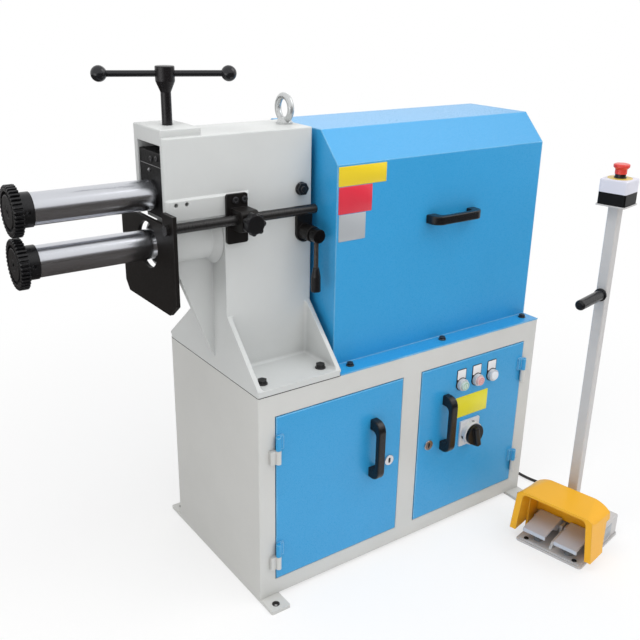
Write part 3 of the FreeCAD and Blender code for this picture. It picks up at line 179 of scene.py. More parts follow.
floor_paint = bpy.data.materials.new("floor_paint")
floor_paint.use_nodes = True
nodes, links = floor_paint.node_tree.nodes, floor_paint.node_tree.links
nodes.clear()
matt = nodes.new("ShaderNodeBsdfDiffuse")
matt.inputs["Color"].default_value = (FLOOR_WHITE, FLOOR_WHITE, FLOOR_WHITE, 1)
glow = nodes.new("ShaderNodeEmission")
glow.inputs["Strength"].default_value = 1.0
distance = nodes.new("ShaderNodeVectorMath")
distance.operation = "LENGTH"
links.new(nodes.new("ShaderNodeTexCoord").outputs["Object"], distance.inputs[0])
away = ramp(
    nodes, links, distance.outputs["Value"], SHADOW_FROM, SHADOW_TO, low=GLOW_UNDER_THE_MACHINE, eased=True
)
glow_share = reckon(nodes, links, "MULTIPLY", away, seen_directly(nodes, links))
floor_out = nodes.new("ShaderNodeOutputMaterial")
links.new(either_shader(nodes, links, glow_share, matt, glow), floor_out.inputs["Surface"])

floor_mesh = bpy.data.meshes.new("floor")
shape = bmesh.new()
bmesh.ops.create_circle(shape, cap_ends=True, segments=96, radius=FLOOR_RADIUS)
shape.to_mesh(floor_mesh)
shape.free()
floor_mesh.materials.append(floor_paint)
floor = bpy.data.objects.new("floor", floor_mesh)
bpy.context.collection.objects.link(floor)
floor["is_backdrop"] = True

cloth_black = bpy.data.materials.new("cloth_black")
cloth_black.use_nodes = True
cloth_shader = cloth_black.node_tree.nodes["Principled BSDF"]
cloth_shader.inputs["Base Color"].default_value = CLOTH_TONE
cloth_shader.inputs["Roughness"].default_value = CLOTH_ROUGH
for name, near_edge, folds in (
    ("front_cloth", FRONT_CLOTH_EDGE, FRONT_CLOTH_FOLDS),
    ("side_cloth", SIDE_CLOTH_EDGE, SIDE_CLOTH_FOLDS),
):
    shape = bmesh.new()
    hem = [shape.edges.new([shape.verts.new(corner) for corner in near_edge])]
    for step in folds:
        grown = bmesh.ops.extrude_edge_only(shape, edges=hem)["geom"]
        bmesh.ops.translate(shape, verts=[v for v in grown if isinstance(v, bmesh.types.BMVert)], vec=step)
        hem = [e for e in grown if isinstance(e, bmesh.types.BMEdge)]
    cloth_mesh = bpy.data.meshes.new(name)
    shape.to_mesh(cloth_mesh)
    shape.free()
    cloth_mesh.materials.append(cloth_black)
    cloth = bpy.data.objects.new(name, cloth_mesh)
    bpy.context.collection.objects.link(cloth)
    cloth.visible_camera = False
    cloth.visible_diffuse = False
    cloth.visible_shadow = False
    cloth.visible_transmission = False
    cloth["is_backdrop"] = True


# Cable from the pedal base to the cabinet
# A round 8 mm rubber sheathed control cable. It leaves the back of the pedal base through a ribbed, tapered
# sleeve, lies on the floor beside the cabinet and goes in through the gland near the cabinet's rear corner.

CABLE_WIDTH = 0.008
CABLE_ROUTE = [
    (0.4464, -0.3724, 0.024),
    (0.5364, -0.3532, 0.012),
    (0.5070, -0.2620, 0.0046),
    (0.4760, -0.1780, 0.0044),
    (0.4840, -0.0880, 0.0046),
    (0.5080, -0.0080, 0.0140),
    (0.5000, 0.0620, 0.0500),
    (0.4130, 0.0620, 0.0500),
]
SLEEVE_BORE = 0.0041
SLEEVE_FLANGE, FLANGE_THICK = 0.0085, 0.003
SLEEVE_TIP = 0.0046
SLEEVE_LENGTH = 0.031
RIBS = 6
FIRST_RIB = 0.004
RIB_PITCH = 0.0042
RIB_RADIUS = 0.0074
RIB_TAPER = 0.0004
RIB_DEPTH = 0.001
CREST_FROM, CREST_TO, RIB_END = 0.0008, 0.0026, 0.0034
SMOOTH_UNDER = math.radians(32)


def linear(hex_colour):
    """The shader's colour for a colour that is written as on a paint card, such as 3C9AD2."""
    parts = [int(hex_colour[k : k + 2], 16) / 255 for k in (0, 2, 4)]
    return tuple(c / 12.92 if c < 0.04045 else ((c + 0.055) / 1.055) ** 2.4 for c in parts) + (1.0,)


def toned(colour, share):
    """A colour made darker by a share under 1 or lighter by one over 1."""
    return tuple(min(1.0, c * share) for c in colour[:3]) + (1.0,)


def two_tones(nodes, links, share, first, second):
    """The first colour where the share is 0 and the second where it is 1."""
    made = nodes.new("ShaderNodeMix")
    made.data_type = "RGBA"
    links.new(share, made.inputs["Factor"])
    feed(links, made.inputs["A"], first)
    feed(links, made.inputs["B"], second)
    return made.outputs["Result"]


def clouds(nodes, links, where, scale, detail, roughness=0.5):
    """Soft random patches, as fine as the scale is high."""
    made = nodes.new("ShaderNodeTexNoise")
    made.inputs["Scale"].default_value = scale
    made.inputs["Detail"].default_value = detail
    made.inputs["Roughness"].default_value = roughness
    links.new(where, made.inputs["Vector"])
    return made.outputs["Fac"]


# Limits of the lighter edges, which are partly wear and partly a painted highlight.
WORN_LIT_FROM, WORN_LIT_FULL = 0.985, 0.90
PATCH_FROM, PATCH_TO, LEAST_WORN_LIT = 0.35, 0.6, 0.45
# How far the painted shade in inner corners reaches, and how dark it gets.
CORNER_SHADE_REACH = 0.03
DEEP_CORNER, OPEN_SURFACE = 0.3, 0.85
CORNER_SHADE_TONE = 0.35
GRAIN_LOW, GRAIN_HIGH = 0.3, 0.7


def worn_and_highlight_share(nodes, links, rounded, drift, most):
    """How much of an edge is rubbed and painted lighter as a highlight: none on flats, the most on corners,
    and less in some patches.
    """
    bend = nodes.new("ShaderNodeVectorMath")
    bend.operation = "DOT_PRODUCT"
    links.new(rounded, bend.inputs[0])
    links.new(nodes.new("ShaderNodeNewGeometry").outputs["Normal"], bend.inputs[1])
    edge = ramp(nodes, links, bend.outputs["Value"], WORN_LIT_FROM, WORN_LIT_FULL, high=most)
    patches = ramp(nodes, links, drift, PATCH_FROM, PATCH_TO, low=LEAST_WORN_LIT)
    return reckon(nodes, links, "MULTIPLY", edge, patches)


def corner_shade_share(nodes, links, most):
    """How much painted shade darkens inner corners, and none of it out on open surfaces."""
    corner = nodes.new("ShaderNodeAmbientOcclusion")
    corner.samples = 6
    corner.inputs["Distance"].default_value = CORNER_SHADE_REACH
    return ramp(nodes, links, corner.outputs["AO"], DEEP_CORNER, OPEN_SURFACE, low=most, high=0.0)


def coat(
    name,
    tone,
    rough,
    metallic=0.0,
    gleam=0.5,
    mottle=0.05,
    mottle_scale=9.0,
    grain=900.0,
    bump=0.06,
    depth=0.0004,
    worn_and_highlight_tone=None,
    edge_width=0.0016,
    worn_and_highlight_most=0.6,
    stretch=(1, 1, 1),
    rough_spread=0.08,
    corner_shade=0.0,
):
    """A painted, plated, moulded or machined finish, with slow colour drift, fine grain, edges worn and
    painted lighter as a highlight, and painted shade in inner corners.
    """
    made = bpy.data.materials.new(name)
    made.use_nodes = True
    nodes, links = made.node_tree.nodes, made.node_tree.links
    shader = nodes["Principled BSDF"]
    shader.inputs["Metallic"].default_value = metallic
    shader.inputs["Specular IOR Level"].default_value = gleam
    relief = nodes.new("ShaderNodeBump")
    relief.inputs["Strength"].default_value = bump
    relief.inputs["Distance"].default_value = depth
    links.new(relief.outputs[0], shader.inputs["Normal"])

    base = linear(tone)
    where = nodes.new("ShaderNodeTexCoord").outputs["Object"]
    drift = clouds(nodes, links, where, mottle_scale, detail=5.0, roughness=0.6)
    colour = two_tones(nodes, links, drift, toned(base, 1 - mottle), toned(base, 1 + mottle))
    # Edges get a lighter tone: partly wear, partly a painted highlight.
    if worn_and_highlight_tone:
        bevel = nodes.new("ShaderNodeBevel")
        bevel.samples = 4
        bevel.inputs["Radius"].default_value = edge_width
        worn_and_lit = worn_and_highlight_share(nodes, links, bevel.outputs[0], drift, worn_and_highlight_most)
        colour = two_tones(nodes, links, worn_and_lit, colour, linear(worn_and_highlight_tone))
        links.new(bevel.outputs[0], relief.inputs["Normal"])
    # Painted shade: inner corners that ambient occlusion finds are darkened.
    if corner_shade:
        colour = two_tones(nodes, links, corner_shade_share(nodes, links, corner_shade), colour, toned(base, CORNER_SHADE_TONE))
    links.new(colour, shader.inputs["Base Color"])

    along = nodes.new("ShaderNodeMapping")
    along.inputs["Scale"].default_value = stretch
    links.new(where, along.inputs["Vector"])
    fine = clouds(nodes, links, along.outputs[0], grain, detail=2.0)
    least, most = max(0.03, rough - rough_spread), min(1.0, rough + rough_spread)
    gloss = ramp(nodes, links, fine, GRAIN_LOW, GRAIN_HIGH, low=least, high=most)
    links.new(gloss, shader.inputs["Roughness"])
    links.new(fine, relief.inputs["Height"])
    return made


def add_piece(name, shape, place, finish, body):
    """Makes an object of a bmesh whose place is in its mesh, and lets it ride on a body."""
    bmesh.ops.transform(shape, matrix=place, verts=shape.verts)
    for face in shape.faces:
        face.smooth = True
    for edge in shape.edges:
        if len(edge.link_faces) == 2:
            edge.smooth = edge.calc_face_angle() < SMOOTH_UNDER
    mesh = bpy.data.meshes.new(name)
    shape.to_mesh(mesh)
    shape.free()
    mesh.materials.append(finish)
    obj = bpy.data.objects.new(name, mesh)
    bpy.context.collection.objects.link(obj)
    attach(obj, body)


def turned(section, segments=40, closed=False):
    """A turned shape about Z from its half section, given as (radius, height) points in their order."""
    shape = bmesh.new()
    points = [shape.verts.new((r, 0, z)) for r, z in section]
    for a, b in zip(points, points[1:] + points[:1] if closed else points[1:]):
        shape.edges.new((a, b))
    bmesh.ops.spin(
        shape, geom=shape.verts[:] + shape.edges[:], cent=(0, 0, 0), axis=(0, 0, 1), dvec=(0, 0, 0),
        angle=2 * math.pi, steps=segments, use_merge=True, use_duplicate=False,
    )
    bmesh.ops.remove_doubles(shape, verts=shape.verts, dist=1e-6)
    bmesh.ops.recalc_face_normals(shape, faces=shape.faces)
    return shape


cable_rubber = coat(
    "cable_rubber", "2A2828", 0.5, gleam=0.4, mottle=0.2, grain=1400, bump=0.12, rough_spread=0.1
)

section = [(SLEEVE_BORE, 0.0), (SLEEVE_FLANGE, 0.0), (SLEEVE_FLANGE, FLANGE_THICK)]
for k in range(RIBS):
    low = FIRST_RIB + RIB_PITCH * k
    outer = RIB_RADIUS - RIB_TAPER * k
    section += [(outer - RIB_DEPTH, low), (outer, low + CREST_FROM)]
    section += [(outer, low + CREST_TO), (outer - RIB_DEPTH, low + RIB_END)]
section += [(SLEEVE_TIP, SLEEVE_LENGTH), (SLEEVE_BORE, SLEEVE_LENGTH)]
run_out = Vector(CABLE_ROUTE[1]) - Vector(CABLE_ROUTE[0])
sleeve_place = Matrix.Translation(CABLE_ROUTE[0]) @ run_out.to_track_quat("Z", "Y").to_matrix().to_4x4()
sleeve = turned(section, segments=28, closed=True)
add_piece("cable_sleeve", sleeve, sleeve_place, cable_rubber, "machine_frame")

line = bpy.data.curves.new("pedal_cable", "CURVE")
line.dimensions = "3D"
line.bevel_depth = CABLE_WIDTH / 2
line.bevel_resolution = 5
line.resolution_u = 24
line.use_fill_caps = True
spline = line.splines.new("NURBS")
spline.points.add(len(CABLE_ROUTE) - 1)
for point, spot in zip(spline.points, CABLE_ROUTE):
    point.co = (*spot, 1)
spline.order_u = 3
spline.use_endpoint_u = True
line.materials.append(cable_rubber)
cable = bpy.data.objects.new("pedal_cable", line)
bpy.context.collection.objects.link(cable)
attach(cable, "machine_frame")
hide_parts("pedal_cord")


# Cabinet, its hinges and foot strips
# A welded sheet steel box with a turned-in front frame, sprayed light grey. Two flat foot strips are welded
# under its ends, and the hinge barrels on its front. Black bushes line the strips' floor bolt holes, and
# their black also paints the shade inside the holes.

FLOOR_HOLE_X = 0.397
FLOOR_HOLE_Y = 0.230
BUSH_SECTION = [
    (0.0064, 0.0006), (0.0069, 0.0006), (0.0069, 0.0081),
    (0.0087, 0.0081), (0.0083, 0.0092), (0.0064, 0.0092),
]


def dress(finish, *names):
    """Gives CAD nodes a finish."""
    for name in names:
        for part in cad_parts[name].material_slots:
            part.material = finish


grey_paint = coat("grey_paint", "CFCFCC", 0.42, grain=700, bump=0.05, worn_and_highlight_tone="E6E7E6", corner_shade=0.3)
dress(grey_paint, "cabinet_shell", "foot_strips", "hinge_knuckles")

# Each bush is rubber, and its black also paints the shade inside the bolt hole.
for side, x in (("left", -FLOOR_HOLE_X), ("right", FLOOR_HOLE_X)):
    for end, y in (("front", -FLOOR_HOLE_Y), ("rear", FLOOR_HOLE_Y)):
        bush = turned(BUSH_SECTION, segments=32, closed=True)
        add_piece(
            f"{side}_{end}_foot_bush", bush, Matrix.Translation((x, y, 0)), cable_rubber, "machine_frame",
        )


# Column, head and the gasket under the column
# One grey iron casting: base plate, two flared side walls and the head, sprayed like the cabinet.
# The sand mould's skin shows through the paint. A thin black gasket seals its base plate to the cabinet.

GASKET_SIZE = (0.2084, 0.4008, 0.0014)
GASKET_PLACE = (-0.315, 0, 0.5087)
GASKET_CORNER = 0.004

cast_paint = coat(
    "cast_paint", "CDCFCE", 0.46, grain=330, bump=0.14, depth=0.0006, worn_and_highlight_tone="F2F4F4", edge_width=0.003,
    worn_and_highlight_most=0.75, corner_shade=0.25,
)
dress(cast_paint, "column_casting")

gasket_rubber = coat("gasket_rubber", "232324", 0.7, gleam=0.3, grain=1200, bump=0.1)
shape = bmesh.new()
bmesh.ops.create_cube(shape, size=1.0, matrix=Matrix.Diagonal((*GASKET_SIZE, 1)))
upright = [e for e in shape.edges if abs(e.verts[0].co.z - e.verts[1].co.z) > GASKET_SIZE[2] / 2]
bmesh.ops.bevel(
    shape, geom=upright, offset=GASKET_CORNER, segments=4, profile=0.5, affect="EDGES", material=-1
)
add_piece(
    "column_gasket", shape, Matrix.Translation(GASKET_PLACE), gasket_rubber, "machine_frame",
)


# Column and hood bolts
# Hexagon bolts with washers, in blackened steel. Four hold the column and six hold the hood's flanges.

bolt_black = coat(
    "bolt_black", "1B1B1C", 0.38, metallic=0.2, gleam=0.4, mottle=0.2, grain=700, worn_and_highlight_tone="88888C",
    edge_width=0.0014,
)
dress(bolt_black, "hex_bolts")


# Cabinet doors and the right door's bare plate
# Folded sheet steel pans in a glossy light blue powder coat, hung on lift-off hinges.
# A bare yellow plastic plate is stuck on the right door.

DOOR_FACE_Y = -0.202
DOOR_PLATE_WIDTH, DOOR_PLATE_HEIGHT = 0.110, 0.057
DOOR_PLATE_X, DOOR_PLATE_Z = 0.200, 0.3285

blue_paint = coat(
    "blue_paint", "329CD5", 0.31, mottle=0.035, grain=800, bump=0.05, worn_and_highlight_tone="A2DAF8", edge_width=0.004,
    worn_and_highlight_most=0.85, corner_shade=0.12,
)
dress(blue_paint, "left_door", "right_door")


def flat_plate(width, height, thick, corner, lip=0.0002):
    """A plate lying on z = 0 with rounded corners and a slightly broken top edge."""
    shape = bmesh.new()
    bmesh.ops.create_grid(shape, x_segments=1, y_segments=1, size=0.5)
    bmesh.ops.scale(shape, vec=(width, height, 1), verts=shape.verts)
    bmesh.ops.bevel(
        shape, geom=shape.verts[:], offset=corner, segments=5, profile=0.5, affect="VERTICES", material=-1
    )
    raised = bmesh.ops.extrude_face_region(shape, geom=shape.faces[:])["geom"]
    top = [v for v in raised if isinstance(v, bmesh.types.BMVert)]
    bmesh.ops.translate(shape, verts=top, vec=(0, 0, thick))
    rim = [e for e in shape.edges if all(v.co.z > thick - 1e-7 for v in e.verts) and len(e.link_faces) == 2]
    bmesh.ops.bevel(shape, geom=rim, offset=lip, segments=2, profile=0.5, affect="EDGES", material=-1)
    bmesh.ops.recalc_face_normals(shape, faces=shape.faces)
    return shape


def facing_front(x, y, z):
    """Turns a shape that was made on the XY plane so that it faces the front of the machine."""
    return placed((1, 0, 0), (0, 0, 1), (0, -1, 0), (x, y, z))


yellow_sheet = coat("yellow_sheet", "E9DF2E", 0.35, mottle=0.04, bump=0.03, worn_and_highlight_tone="F4EE7A")
add_piece(
    "door_plate", flat_plate(DOOR_PLATE_WIDTH, DOOR_PLATE_HEIGHT, thick=0.0006, corner=0.002),
    facing_front(DOOR_PLATE_X, DOOR_FACE_Y, DOOR_PLATE_Z), yellow_sheet, "right_door_leaf",
)


# Door and hood handles
# Bow handles moulded in black glass filled nylon, screwed on from behind.

nylon = coat(
    "handle_nylon", "131315", 0.28, gleam=0.4, mottle=0.12, grain=1500, bump=0.08, worn_and_highlight_tone="3A3A3E",
    edge_width=0.003,
)
dress(nylon, "left_door_handle", "right_door_handle", "hood_handle")


# Quarter turn locks
# Chrome plated zinc barrels. A black plastic shutter keeps dust out of each key slot, and its black also
# paints the shade in the slot.

LOCK_FACE_Y = -0.206
LOCK_Z = 0.254
LEFT_LOCK_X, RIGHT_LOCK_X = -0.064, 0.061
SHUTTER_WIDTH, SHUTTER_HEIGHT, SHUTTER_CORNER = 0.0062, 0.0130, 0.0029

chrome = coat(
    "lock_chrome", "D5D5D8", 0.14, metallic=1.0, mottle=0.04, grain=300, bump=0.01, rough_spread=0.04
)
dress(chrome, "left_lock", "right_lock")
shutter_black = coat("shutter_black", "161618", 0.4, gleam=0.35, mottle=0.1, grain=1300)
# The shutters' black also paints the shade in the key slots.
for side, x in (("left", LEFT_LOCK_X), ("right", RIGHT_LOCK_X)):
    shutter = flat_plate(SHUTTER_WIDTH, SHUTTER_HEIGHT, thick=0.0003, corner=SHUTTER_CORNER, lip=0.0001)
    add_piece(
        side + "_lock_shutter_and_slot_shade", shutter, facing_front(x, LOCK_FACE_Y, LOCK_Z), shutter_black,
        side + "_lock_barrel",
    )


# Start, stop and lamp on the right door
# Panel heads of 22 mm: a satin plastic collar on a black gasket, a pale cap with its coloured I or O,
# and a pale lamp. Each has a bare white plate in a black holder above it.

START_X, STOP_X, LAMP_X = 0.158, 0.210, 0.262
BUTTON_Z = 0.394
HOLDER_WIDTH, HOLDER_HEIGHT, HOLDER_THICK = 0.031, 0.046, 0.0010
HOLDER_ABOVE = 0.0165
PLATE_WIDTH, PLATE_HEIGHT = 0.0272, 0.0245
PLATE_ABOVE = 0.0255
PLATES_LEFT_BY = 0.001
HEAD_GASKET_SECTION = [(0.0125, 0.0), (0.0172, 0.0), (0.0172, 0.0012), (0.0165, 0.0020), (0.0125, 0.0020)]
CAP_FACE_Y = -0.220
CAP_RIM_INNER, CAP_RIM_OUTER = 0.0070, 0.0088
O_INNER, O_OUTER = 0.0027, 0.0043
I_WIDTH, I_HEIGHT = 0.0018, 0.0088

satin_collar = coat("satin_collar", "C9CCD0", 0.3, metallic=0.25, grain=600, bump=0.02)
dress(satin_collar, "button_bezels")
pale_green = coat("pale_green_cap", "C6D6CE", 0.28, mottle=0.04, bump=0.02)
dress(pale_green, "start_button")
pale_red = coat("pale_red_cap", "E3BFBE", 0.28, bump=0.02)
dress(pale_red, "stop_button")
lamp_white = coat("lamp_white", "E3E6EA", 0.2, mottle=0.03, bump=0.02)
dress(lamp_white, "panel_lamp")
holder_black = coat("holder_black", "1A1A1D", 0.45, gleam=0.35, grain=1300, worn_and_highlight_tone="3C3C40")
plate_white = coat("plate_white", "EDEBEC", 0.4, mottle=0.03, bump=0.03)
cap_green = coat("cap_green", "86B59C", 0.3, bump=0.02)
cap_red = coat("cap_red", "D57C80", 0.3, bump=0.02)

for name, x in (("start", START_X), ("stop", STOP_X), ("lamp", LAMP_X)):
    add_piece(
        name + "_gasket", turned(HEAD_GASKET_SECTION, closed=True), facing_front(x, DOOR_FACE_Y, BUTTON_Z),
        holder_black, "right_door_leaf",
    )
    plates_x = x - PLATES_LEFT_BY
    add_piece(
        name + "_plate_holder", flat_plate(HOLDER_WIDTH, HOLDER_HEIGHT, HOLDER_THICK, corner=0.003),
        facing_front(plates_x, DOOR_FACE_Y, BUTTON_Z + HOLDER_ABOVE), holder_black, "right_door_leaf",
    )
    add_piece(
        name + "_plate", flat_plate(PLATE_WIDTH, PLATE_HEIGHT, thick=0.0005, corner=0.0015),
        facing_front(plates_x, DOOR_FACE_Y - HOLDER_THICK, BUTTON_Z + PLATE_ABOVE), plate_white,
        "right_door_leaf",
    )


def inlaid_ring(inner, outer):
    """A ring let 0.4 mm into a face at z = 0, standing 0.2 mm proud of it."""
    section = [(inner, -0.0004), (outer, -0.0004), (outer, 0.0002), (inner, 0.0002)]
    return turned(section, segments=36, closed=True)


start_face = facing_front(START_X, CAP_FACE_Y, BUTTON_Z)
stop_face = facing_front(STOP_X, CAP_FACE_Y, BUTTON_Z)
rim = inlaid_ring(CAP_RIM_INNER, CAP_RIM_OUTER)
add_piece("start_ring", rim, start_face, cap_green, "start")
bar = flat_plate(I_WIDTH, I_HEIGHT, thick=0.0003, corner=0.0004, lip=0.0001)
add_piece("start_bar", bar, start_face, cap_green, "start")
for name, inner, outer in (("stop_ring", CAP_RIM_INNER, CAP_RIM_OUTER), ("stop_o", O_INNER, O_OUTER)):
    add_piece(name, inlaid_ring(inner, outer), stop_face, cap_red, "stop")


# Main isolator
# A light grey square plate with a round collar, and a black knob that turns on it.
# Two black bars on the collar mark where the knob stands for off and on.

COLLAR_CENTRE = Vector((0.197, -0.2125, 0.253))
COLLAR_RADIUS = 0.02975
OFF_ANGLE, ON_ANGLE = math.radians(80), math.radians(192)
MARK_LENGTH, MARK_WIDTH, MARK_THICK = 0.0075, 0.0050, 0.0007

plate_grey = coat("plate_grey", "D3D3D6", 0.38, mottle=0.04, grain=1500, worn_and_highlight_tone="EAEAEE")
dress(plate_grey, "isolator_base")
knob_black = coat("knob_black", "111113", 0.34, gleam=0.3, mottle=0.12, grain=1500, worn_and_highlight_tone="36363A")
dress(knob_black, "isolator_knob")
for name, angle in (("off_mark", OFF_ANGLE), ("on_mark", ON_ANGLE)):
    out = Vector((math.cos(angle), 0, math.sin(angle)))
    along = Vector((-out.z, 0, out.x))
    add_piece(
        name, flat_plate(MARK_LENGTH, MARK_WIDTH, MARK_THICK, corner=0.0008, lip=0.0001),
        placed(along, (0, -1, 0), out, COLLAR_CENTRE + out * COLLAR_RADIUS), shutter_black,
        "right_door_leaf",
    )


# Upper and lower shafts
# Turned and ground steel bars of 60 mm. The grinding lines run round them, too fine to see singly.

ground_steel = coat(
    "ground_steel", "D0D2D8", 0.24, metallic=1.0, mottle=0.03, grain=30, stretch=(60, 1, 1), bump=0.004,
    rough_spread=0.03,
)
dress(ground_steel, "upper_shaft", "lower_shaft")


# Forming rolls, collars and roll screws
# Hardened and oil blackened steel. Each shaft has a clamp collar, a toothed roll, and a flush screw that
# holds the roll on.

oil_black = coat(
    "oil_black", "19191B", 0.33, metallic=0.25, gleam=0.45, mottle=0.2, grain=500, bump=0.05,
    worn_and_highlight_tone="56565A", edge_width=0.0009,
)
dress(oil_black, "upper_roll", "lower_roll", "upper_collar", "lower_collar")
dress(oil_black, "upper_roll_screw", "lower_roll_screw")


# Upper arm with its cap screws
# A black painted iron arm that tilts in the head. Its cap is screwed on the top, the joint between them
# is a machined line, and a plated grease nipple sits under it.

ARM_FACE_X = -0.541
CAP_SCREWS = (("arm_screw_1", -0.017, 0.978), ("arm_screw_2", -0.042, 0.981))
CAP_SCREW_RADIUS, CAP_SCREW_HEIGHT, CAP_KEY, CAP_KEY_DEPTH = 0.0055, 0.0022, 0.005, 0.0018
SEAM_LENGTH, SEAM_WIDTH = 0.100, 0.0012
SEAM_Y, SEAM_Z = -0.013, 0.9655
NIPPLE_Y, NIPPLE_Z = -0.0064, 0.9550
NIPPLE_SECTION = [
    (0, 0), (0.0036, 0), (0.0036, 0.0012), (0.0022, 0.0016), (0.0024, 0.0026), (0.0014, 0.0032), (0, 0.0032)
]

arm_black = coat(
    "arm_black", "151516", 0.5, gleam=0.18, grain=260, bump=0.16, worn_and_highlight_tone="454547", edge_width=0.001
)
dress(arm_black, "upper_arm")


def facing_left(x, y, z):
    """Turns a shape that was made on the XY plane so that it faces the roll end of the machine."""
    return placed((0, -1, 0), (0, 0, 1), (-1, 0, 0), (x, y, z))


def socket_screw(radius, height, across, deep):
    """The head of a socket screw standing on z = 0, with the hexagon that the key goes in."""
    shape = bmesh.new()
    corners_at = across / math.sqrt(3)
    rim = bmesh.ops.create_circle(shape, cap_ends=False, segments=24, radius=radius)["verts"]
    hexagon = bmesh.ops.create_circle(shape, cap_ends=False, segments=6, radius=corners_at)["verts"]
    bmesh.ops.translate(shape, verts=shape.verts, vec=(0, 0, height))
    rim_edges = [e for e in shape.edges if e.verts[0] in rim]
    key_edges = [e for e in shape.edges if e.verts[0] in hexagon]
    bmesh.ops.bridge_loops(shape, edges=rim_edges + key_edges)
    for edges, drop in ((rim_edges, height), (key_edges, deep)):
        grown = bmesh.ops.extrude_edge_only(shape, edges=edges)["geom"]
        lowered = [v for v in grown if isinstance(v, bmesh.types.BMVert)]
        bmesh.ops.translate(shape, verts=lowered, vec=(0, 0, -drop))
    key_floor = [e for e in grown if isinstance(e, bmesh.types.BMEdge)]
    bmesh.ops.contextual_create(shape, geom=key_floor)
    lip = [
        e for e in shape.edges
        if all(abs(v.co.z - height) < 1e-7 and v.co.xy.length > radius * 0.98 for v in e.verts)
    ]
    bmesh.ops.bevel(
        shape, geom=lip, offset=radius * 0.14, segments=3, profile=0.5, affect="EDGES", material=-1
    )
    bmesh.ops.recalc_face_normals(shape, faces=shape.faces)
    return shape


screw_steel = coat("screw_steel", "3A3A3C", 0.32, metallic=0.6, mottle=0.15, grain=700, worn_and_highlight_tone="77777A")
for name, y, z in CAP_SCREWS:
    add_piece(
        name, socket_screw(CAP_SCREW_RADIUS, CAP_SCREW_HEIGHT, CAP_KEY, CAP_KEY_DEPTH),
        facing_left(ARM_FACE_X, y, z), screw_steel, "arm",
    )
seam_steel = coat("seam_steel", "A8A8AA", 0.3, metallic=0.8, mottle=0.1, grain=600, bump=0.03)
add_piece(
    "arm_seam", flat_plate(SEAM_LENGTH, SEAM_WIDTH, thick=0.0003, corner=0.0003, lip=0.0001),
    facing_left(ARM_FACE_X, SEAM_Y, SEAM_Z), seam_steel, "arm",
)
add_piece(
    "arm_grease_nipple", turned(NIPPLE_SECTION), facing_left(ARM_FACE_X, NIPPLE_Y, NIPPLE_Z), seam_steel,
    "arm",
)


# Feed screw
# A blackened steel screw through the head's pad. It presses on the block that carries the arm's end.

screw_black = coat(
    "screw_black", "1C1A1C", 0.3, metallic=0.3, gleam=0.45, mottle=0.15, grain=500, bump=0.04,
    worn_and_highlight_tone="55555A",
)
dress(screw_black, "feed_screw")


# Tommy bar
# A blackened and polished steel bar with a ball pressed on each end, through the feed screw's head.

bar_black = coat("bar_black", "1A1A1D", 0.2, metallic=0.1, mottle=0.1, grain=300, bump=0.01)
dress(bar_black, "tommy_bar")


# Lifting eye
# A forged eye bolt, zinc plated. The plating follows the forging's soft skin.

zinc = coat("zinc_plate", "C9CBCB", 0.34, metallic=0.75, mottle_scale=40, grain=300, bump=0.01)
dress(zinc, "eye_bolt")


# Pivot pins
# Hexagon headed pins of blackened steel, one on each side of the head, that the arm tilts on.

dress(bolt_black, "pivot_pins")


# Depth stop: plate, rod, bracket and star knob
# A flat plate that the sheet runs against, on a blackened rod. The rod slides in a bracket on the head,
# which has two socket screws, and a star knob clamps it.

BRACKET_FACE_Y = -0.088
BRACKET_SCREW_Z = 0.8945
BRACKET_SCREWS = (("bracket_screw_1", -0.3995), ("bracket_screw_2", -0.3790))
BRACKET_SCREW_RADIUS, BRACKET_SCREW_HEIGHT, BRACKET_KEY, BRACKET_KEY_DEPTH = 0.0068, 0.0040, 0.0062, 0.0030

stop_black = coat("stop_black", "181615", 0.42, gleam=0.2, mottle=0.15, grain=500, worn_and_highlight_tone="4E4C4C")
dress(stop_black, "stop_plate", "rod_bracket")
rod_black = coat("rod_black", "2A2929", 0.3, metallic=0.45, mottle=0.12, grain=400, bump=0.02)
dress(rod_black, "gauge_rod")
dress(nylon, "star_knob")
for name, x in BRACKET_SCREWS:
    add_piece(
        name, socket_screw(BRACKET_SCREW_RADIUS, BRACKET_SCREW_HEIGHT, BRACKET_KEY, BRACKET_KEY_DEPTH),
        facing_front(x, BRACKET_FACE_Y, BRACKET_SCREW_Z), screw_steel, "machine_frame",
    )


# Shift lever, its housing and grip
# A steel lever with a blackened hub, in a blackened cast housing on the column. Its grip is black plastic,
# fatter towards the end.

HUB_FOOT_Z = 0.793


def split_by_height(finish, height, other_tone, other_side):
    """Gives the part of a finish above or below a height another colour, as where two pieces meet."""
    nodes, links = finish.node_tree.nodes, finish.node_tree.links
    coloured = nodes["Principled BSDF"].inputs["Base Color"]
    own_colour = coloured.links[0].from_socket
    place = nodes.new("ShaderNodeSeparateXYZ")
    links.new(nodes.new("ShaderNodeTexCoord").outputs["Object"], place.inputs[0])
    comparison = "GREATER_THAN" if other_side == "above" else "LESS_THAN"
    beyond = reckon(nodes, links, comparison, place.outputs["Z"], height)
    links.new(two_tones(nodes, links, beyond, own_colour, linear(other_tone)), coloured)


lever_steel = coat(
    "lever_steel", "57504C", 0.3, metallic=0.7, mottle=0.1, grain=400, bump=0.03, worn_and_highlight_tone="8A8684"
)
split_by_height(lever_steel, HUB_FOOT_Z, "151314", "above")
dress(lever_steel, "shift_lever")
dress(stop_black, "lever_housing")
dress(nylon, "lever_grip")


# Hood over the motor and its bare plates
# Folded and welded sheet steel in the doors' blue. Three bare plastic plates are stuck on its front.

HOOD_FRONT_Y = -0.152

